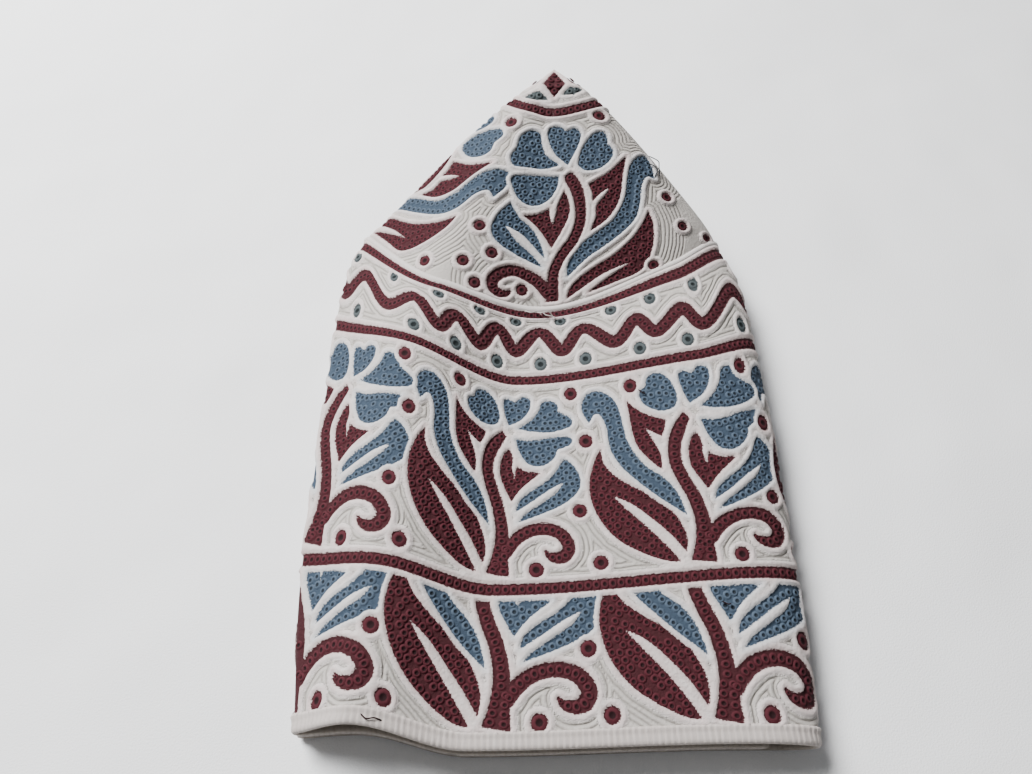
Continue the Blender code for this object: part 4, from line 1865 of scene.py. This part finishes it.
@dataclass
class SideBand:
    """The tall embroidered band: one wall from the hem to the seam's ridge, with raised satin cords."""

    cap: FoldedCap
    finishes: Finishes
    pattern: BandPattern = field(default_factory=BandPattern)
    relief: Relief = field(default_factory=Relief)
    low: float = 3.5
    high: float = 131.2
    inside: float = INNER_FACE
    row_step: float = 0.65
    inner_step: float = 9.0
    fine: float = 0.6
    coarse: float = 3.2
    margin: float = 9.0

    def build(self) -> bpy.types.Object:
        """Builds the cloth and its stitches.

        Returns:
            The cloth.
        """
        columns = even_columns(self.cap.band_spans, RIM_ROUND, self.fine, self.coarse, self.margin)
        wall = WallMesh()
        gaps = GapTable(self.pattern.reach)
        outer = []
        for up in np.linspace(self.low, self.high, int((self.high - self.low) / self.row_step)):
            ups = np.full(columns.shape, up)
            lift = self.relief.lift(gaps.add(self.pattern.gaps(columns, ups)))
            outer.append(wall.add_row(self.cap.band.place(columns, ups, lift)))
        inner = []
        for up in np.linspace(self.low, self.high, int((self.high - self.low) / self.inner_step)):
            inner.append(wall.add_row(self.cap.band.place(columns, np.full(columns.shape, up), self.inside)))
            gaps.skip(len(columns))
        wall.join_all(outer)
        wall.join_all(inner, inner=True)
        wall.join(inner[0], outer[0])
        wall.join(outer[-1], inner[-1])
        piece = wall.piece("band_cloth", self.finishes.cloth, self.finishes.lining)
        gaps.store(piece)
        declare(piece, "quilted_cloth", "side_band")
        tables = {thread: self.pattern.placed(thread) for thread in Thread}
        StitchWork(self.cap.band, self.cap.band_spans).lay("band", tables, self.finishes)
        return piece


@dataclass
class CrownCloth:
    """The round crown: one wall that narrows from the ridge to the tip, with raised satin cords."""

    cap: FoldedCap
    finishes: Finishes
    pattern: CrownPattern = field(default_factory=CrownPattern)
    relief: Relief = field(default_factory=Relief)
    edge: float = 0.9
    inside: float = INNER_FACE
    row_step: float = 0.46
    inner_step: float = 6.0
    fine: float = 0.46
    coarse: float = 3.0
    margin: float = 8.0
    thin_from: float = 16.0
    thinnest: float = 0.06
    tip_gap: float = 0.3
    tip_lift: float = 0.5
    halve_at: tuple[float, ...] = (0.5, 0.25, 0.125)

    def reach(self, in_from_seam: float) -> float:
        """The share of the wall's thickness that is left near the tip, where the folds leave no room."""
        left = self.cap.crown_radius - in_from_seam
        return min(max(left / self.thin_from, self.thinnest), 1.0)

    def build(self) -> bpy.types.Object:
        """Builds the cloth and its stitches.

        Returns:
            The cloth.
        """
        cap = self.cap
        whole = 2 * math.pi * cap.crown_radius
        halvings = 2 ** len(self.halve_at)
        columns = even_columns(cap.crown_spans, whole, self.fine, self.coarse, self.margin, halvings)
        wall = WallMesh()
        gaps = GapTable(self.pattern.reach)
        end = cap.crown_radius - self.tip_gap
        edges = {}
        for inner, step in ((False, self.row_step), (True, self.inner_step)):
            rows = []
            for up in np.linspace(self.edge, end, int((end - self.edge) / step)):
                left = 1 - up / cap.crown_radius
                turns = columns[::2 ** sum(left < share for share in self.halve_at)]
                ups = np.full(turns.shape, up)
                if inner:
                    lift = self.inside
                    gaps.skip(len(turns))
                else:
                    lift = self.relief.lift(gaps.add(self.pattern.gaps(turns, ups)))
                rows.append(wall.add_row(cap.crown.place(turns, ups, lift * self.reach(up))))
            wall.join_all(rows, inner)
            lift = (self.inside if inner else self.relief.ground) * self.reach(end) * self.tip_lift
            tip = cap.crown.place(np.zeros(1), np.array([cap.crown_radius]), lift)
            wall.join(rows[-1], wall.add_row(tip), inner)
            gaps.skip(1)
            edges[inner] = rows[0]
        wall.join(edges[True], edges[False])
        piece = wall.piece("crown_cloth", self.finishes.cloth, self.finishes.lining)
        gaps.store(piece)
        declare(piece, "quilted_cloth", "crown")
        tables = {thread: self.pattern.placed(thread) for thread in Thread}
        StitchWork(cap.crown, cap.crown_spans).lay("crown", tables, self.finishes)
        return piece


@dataclass
class RimHem:
    """The rim's turned edge: a closed roll of cloth drawn into small ribs by its stitching."""

    cap: FoldedCap
    finishes: Finishes
    profile: Chart = (
        (4.0, -0.85), (2.4, -0.95), (1.0, -0.9), (0.25, -0.62), (0.0, -0.15), (0.05, 0.4), (0.45, 0.82),
        (1.1, 0.98), (2.1, 0.9), (2.9, 0.96), (3.4, 1.2), (3.8, 1.14), (4.08, 0.8))
    rib: float = 1.5
    rib_deep: float = 0.09
    underside_shade_from: float = 0.45
    fine: float = 0.36
    coarse: float = 3.0
    margin: float = 9.0

    def build(self) -> bpy.types.Object:
        """Builds the hem.

        Returns:
            The piece.
        """
        columns = even_columns(self.cap.band_spans, RIM_ROUND, self.fine, self.coarse, self.margin)
        ribs = np.cos(columns * RIM_ROUND * 2 * math.pi / self.rib) * self.rib_deep
        wall = WallMesh()
        across, under, rows = [], [], []
        for up, lift in self.profile:
            lifts = lift + ribs * max(lift, 0.0)
            rows.append(wall.add_row(self.cap.band.place(columns, np.full(columns.shape, up), lifts)))
            across.append(np.full(columns.shape, up))
            # Painted shade: the share of the hem's underside tone, rising where the roll turns under.
            shade = (self.underside_shade_from - lift) / self.underside_shade_from
            under.append(np.full(columns.shape, min(max(shade, 0.0), 1.0)))
        wall.join_all(rows + rows[:1])
        piece = wall.piece("rim_roll", self.finishes.hem)
        add_values(piece, "along", np.tile(columns * RIM_ROUND, len(rows)))
        add_values(piece, "across", np.concatenate(across))
        add_values(piece, "under", np.concatenate(under))
        declare(piece, "hem_cloth", "rim_hem")
        return piece


@dataclass
class SeamRidge:
    """The corded ridge where the crown is sewn to the band."""

    cap: FoldedCap
    finishes: Finishes
    half_wide: float = 1.2
    low: float = -0.9
    high: float = 1.45
    sides: int = 14
    fine: float = 0.45
    coarse: float = 3.0
    margin: float = 9.0
    twist_deep: float = 0.07
    twist_pitch: float = 1.3
    twist_slant: float = 0.8
    beside: float = 1.0

    def build(self) -> bpy.types.Object:
        """Builds the ridge.

        Returns:
            The piece.
        """
        cap = self.cap
        whole = 2 * math.pi * cap.crown_radius
        columns = even_columns(cap.crown_spans, whole, self.fine, self.coarse, self.margin)
        at_seam = np.zeros(columns.shape)
        middle = cap.crown.read(cap.crown.points, columns, at_seam)
        on_crown = cap.crown.facing(columns, at_seam + self.beside)
        on_band = cap.band.facing(cap.band_turn(columns), at_seam + (cap.band_tall - self.beside))
        normals = on_crown + on_band
        normals /= np.linalg.norm(normals, axis=1, keepdims=True)
        ways = np.roll(middle, -1, axis=0) - np.roll(middle, 1, axis=0)
        ways /= np.linalg.norm(ways, axis=1, keepdims=True)
        square = np.cross(normals, ways)
        wall = WallMesh()
        rows, across = [], []
        for side in range(self.sides):
            angle = -2 * math.pi * side / self.sides
            slant = columns * whole + self.half_wide * math.cos(angle) * self.twist_slant
            swell = 1 + self.twist_deep * np.cos(slant * 2 * math.pi / self.twist_pitch)
            out = (self.high + self.low) / 2 + (self.high - self.low) / 2 * math.sin(angle) * swell
            along = self.half_wide * math.cos(angle) * swell
            rows.append(wall.add_row(middle + normals * out[:, None] + square * along[:, None]))
            across.append(np.full(columns.shape, self.half_wide * angle))
        wall.join_all(rows + rows[:1])
        piece = wall.piece("seam_ridge", self.finishes.satin)
        add_values(piece, "along", np.tile(columns * whole, self.sides))
        add_values(piece, "across", np.concatenate(across))
        declare(piece, "seam_cord", "crown_seam")
        return piece


@dataclass(frozen=True)
class ThreadEnd:
    """A loose thread end: its slot, its cloth, and its path as (x, up or out from the tip, lift)."""

    slot: str
    on_crown: bool
    path: Chart


@dataclass
class LooseThreads:
    """The few thread ends that the embroiderer left on top of the work."""

    cap: FoldedCap
    finishes: Finishes
    thick: float = 0.34
    end_share: float = 0.3
    sides: int = 6
    steps: int = 5
    ends: tuple[ThreadEnd, ...] = (
        ThreadEnd("maroon_thread", False, ((-27.4, 1.9, 0.8), (-29.4, 2.0, 1.5), (-31.2, 1.5, 1.4),
                                           (-32.6, 2.4, 0.9))),
        ThreadEnd("maroon_thread", False, ((44.3, 95.4, 0.8), (45.3, 94.0, 1.6), (46.6, 93.4, 1.0))),
        ThreadEnd("maroon_thread", False, ((59.0, 31.6, 0.8), (60.2, 30.6, 1.7), (61.2, 30.9, 1.0))),
        ThreadEnd("blue_thread", True, ((30.6, 25.4, 0.8), (33.2, 27.6, 2.0), (33.6, 31.2, 1.9),
                                        (34.6, 35.2, 0.9))),
        ThreadEnd("blue_thread", True, ((30.4, 30.0, 0.8), (33.0, 32.6, 1.8), (32.6, 36.6, 0.9))),
        ThreadEnd("white_thread", False, ((8.6, 130.4, 1.3), (10.8, 129.0, 2.4), (13.2, 129.9, 2.2),
                                          (14.8, 128.2, 1.2))),
        ThreadEnd("white_thread", False, ((12.0, 130.6, 1.3), (14.2, 128.6, 2.6), (17.0, 129.2, 2.4),
                                          (18.6, 127.4, 1.0))),
        ThreadEnd("white_thread", False, ((15.2, 130.2, 1.3), (16.0, 127.6, 2.2), (18.8, 126.4, 1.8),
                                          (20.2, 125.0, 0.9))),
    )

    def line(self, end: ThreadEnd) -> Points:
        """Draws a thread end in the frame."""
        x, up, lift = curve_through(np.array(end.path, float), self.steps).T
        if end.on_crown:
            in_from_seam = self.cap.crown_radius - np.hypot(x, up)
            return self.cap.crown.place(np.arctan2(x, up) / (2 * math.pi), in_from_seam, lift)
        return self.cap.band.place(x / RIM_ROUND, up, lift)

    def tube(self, line: Points) -> tuple[Points, np.ndarray]:
        """Sweeps a thread along a line.

        Args:
            line: The line's points.

        Returns:
            The tube's points, and its faces as numbers of them.
        """
        ways = np.gradient(line, axis=0)
        ways /= np.linalg.norm(ways, axis=1, keepdims=True)
        side = np.cross(ways, (0.0, 0.0, 1.0))
        side /= np.linalg.norm(side, axis=1, keepdims=True)
        square = np.cross(side, ways)
        angles = np.arange(self.sides) * 2 * math.pi / self.sides
        at_end = np.arange(len(line)) % (len(line) - 1) == 0
        thick = self.thick / 2 * np.where(at_end, self.end_share, 1.0)[:, None, None]
        ring = side[:, None] * np.cos(angles)[:, None] + square[:, None] * np.sin(angles)[:, None]
        points = (line[:, None] + ring * thick).reshape(-1, 3)
        numbers = np.arange(len(points)).reshape(len(line), self.sides)
        near, far = numbers[:-1], numbers[1:]
        faces = np.stack([near, np.roll(near, -1, axis=1), np.roll(far, -1, axis=1), far], axis=2)
        return points, faces.reshape(-1, 4)

    def build(self) -> None:
        """Builds one piece for each slot."""
        materials = {"maroon_thread": self.finishes.threads[Thread.MAROON],
                     "blue_thread": self.finishes.threads[Thread.BLUE], "white_thread": self.finishes.satin}
        for slot, material in materials.items():
            points, faces = [], []
            for end in self.ends:
                if end.slot == slot:
                    tube, sides = self.tube(self.line(end))
                    start, last = sum(map(len, points)), len(tube) - self.sides
                    faces += [tuple(face) for face in (sides + start).tolist()]
                    faces += [tuple(range(start + self.sides - 1, start - 1, -1)),
                              tuple(range(start + last, start + last + self.sides))]
                    points.append(tube)
            piece = mesh_piece(f"loose_{slot}", np.vstack(points), faces)
            piece.data.materials.append(material)
            declare(piece, slot)


@dataclass
class Studio:
    """The pale cloth under the cap, the soft lights and the camera, which looks down from the rim's side."""

    shift: tuple[float, float] = SHIFT
    camera: tuple[float, float, float] = (0.0, -124.107, 212.613)
    tilt: float = 32.0
    lens: float = 27.03
    sensor: float = 36.0
    nearest: float = 0.01
    floor_half: float = 1.6
    sky: float = 0.09
    sky_colour: Colour = (0.93, 0.96, 1.0)
    key_place: tuple[float, float, float] = (-0.50, 0.42, 0.76)
    key_size: float = 0.45
    key_power: float = 31.0
    fill_place: tuple[float, float, float] = (-0.1, -0.1, 1.0)
    fill_size: float = 0.9
    fill_power: float = 1.2

    def build(self) -> None:
        """Builds all of it."""
        self.add_floor()
        self.add_lights()
        self.add_camera()

    def add_floor(self) -> None:
        """Lays the floor, one flat square."""
        half = self.floor_half
        corners = [(-half, -half, 0.0), (half, -half, 0.0), (half, half, 0.0), (-half, half, 0.0)]
        mesh = bpy.data.meshes.new("floor")
        mesh.from_pydata(corners, [], [(0, 1, 2, 3)])
        floor = linked("floor", mesh)
        mesh.materials.append(FloorCloth().material())

    def add_light(self, name: str, place: tuple[float, float, float], size: float, power: float) -> None:
        """Adds a square light that faces the cap.

        Args:
            name: Its name.
            place: Where it stands, in metres.
            size: Its side.
            power: Its power in watts.
        """
        light = bpy.data.lights.new(name, "AREA")
        light.size = size
        light.energy = power
        lamp = linked(name, light)
        facing = -Matrix.Translation(place).to_translation()
        lamp.matrix_world = Matrix.Translation(place) @ facing.to_track_quat("-Z", "Y").to_matrix().to_4x4()

    def add_lights(self) -> None:
        """Adds the soft sky, the light from above, behind and the left, and a weak one from above."""
        world = bpy.data.worlds.new("sky")
        world.use_nodes = True
        background = world.node_tree.nodes["Background"]
        background.inputs["Color"].default_value = (*self.sky_colour, 1.0)
        background.inputs["Strength"].default_value = self.sky
        bpy.context.scene.world = world
        self.add_light("window", self.key_place, self.key_size, self.key_power)
        self.add_light("ceiling", self.fill_place, self.fill_size, self.fill_power)

    def add_camera(self) -> None:
        """Sets the camera at the photograph's angle."""
        lens = bpy.data.cameras.new("camera")
        lens.lens = self.lens
        lens.sensor_width = self.sensor
        lens.sensor_fit = "HORIZONTAL"
        lens.clip_start = self.nearest
        eye = linked("camera", lens)
        x, y, z = self.camera
        place = ((x + self.shift[0]) * MM, (y + self.shift[1]) * MM, z * MM)
        eye.matrix_world = Matrix.Translation(place) @ Matrix.Rotation(math.radians(self.tilt), 4, "X")
        bpy.context.scene.camera = eye


def save_sizes() -> None:
    """Brings the scene up to date."""
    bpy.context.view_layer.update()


def main() -> None:
    """Builds and dresses the cap and sets up its picture."""
    logging.basicConfig(level=logging.INFO, format="%(name)s: %(message)s")
    Studio().build()
    cap = FoldedCap()
    finishes = Finishes()
    band = SideBand(cap, finishes).build()
    hem = RimHem(cap, finishes).build()
    crown = CrownCloth(cap, finishes).build()
    ridge = SeamRidge(cap, finishes).build()
    LooseThreads(cap, finishes).build()
    save_sizes()


if __name__ == "__main__":
    main()
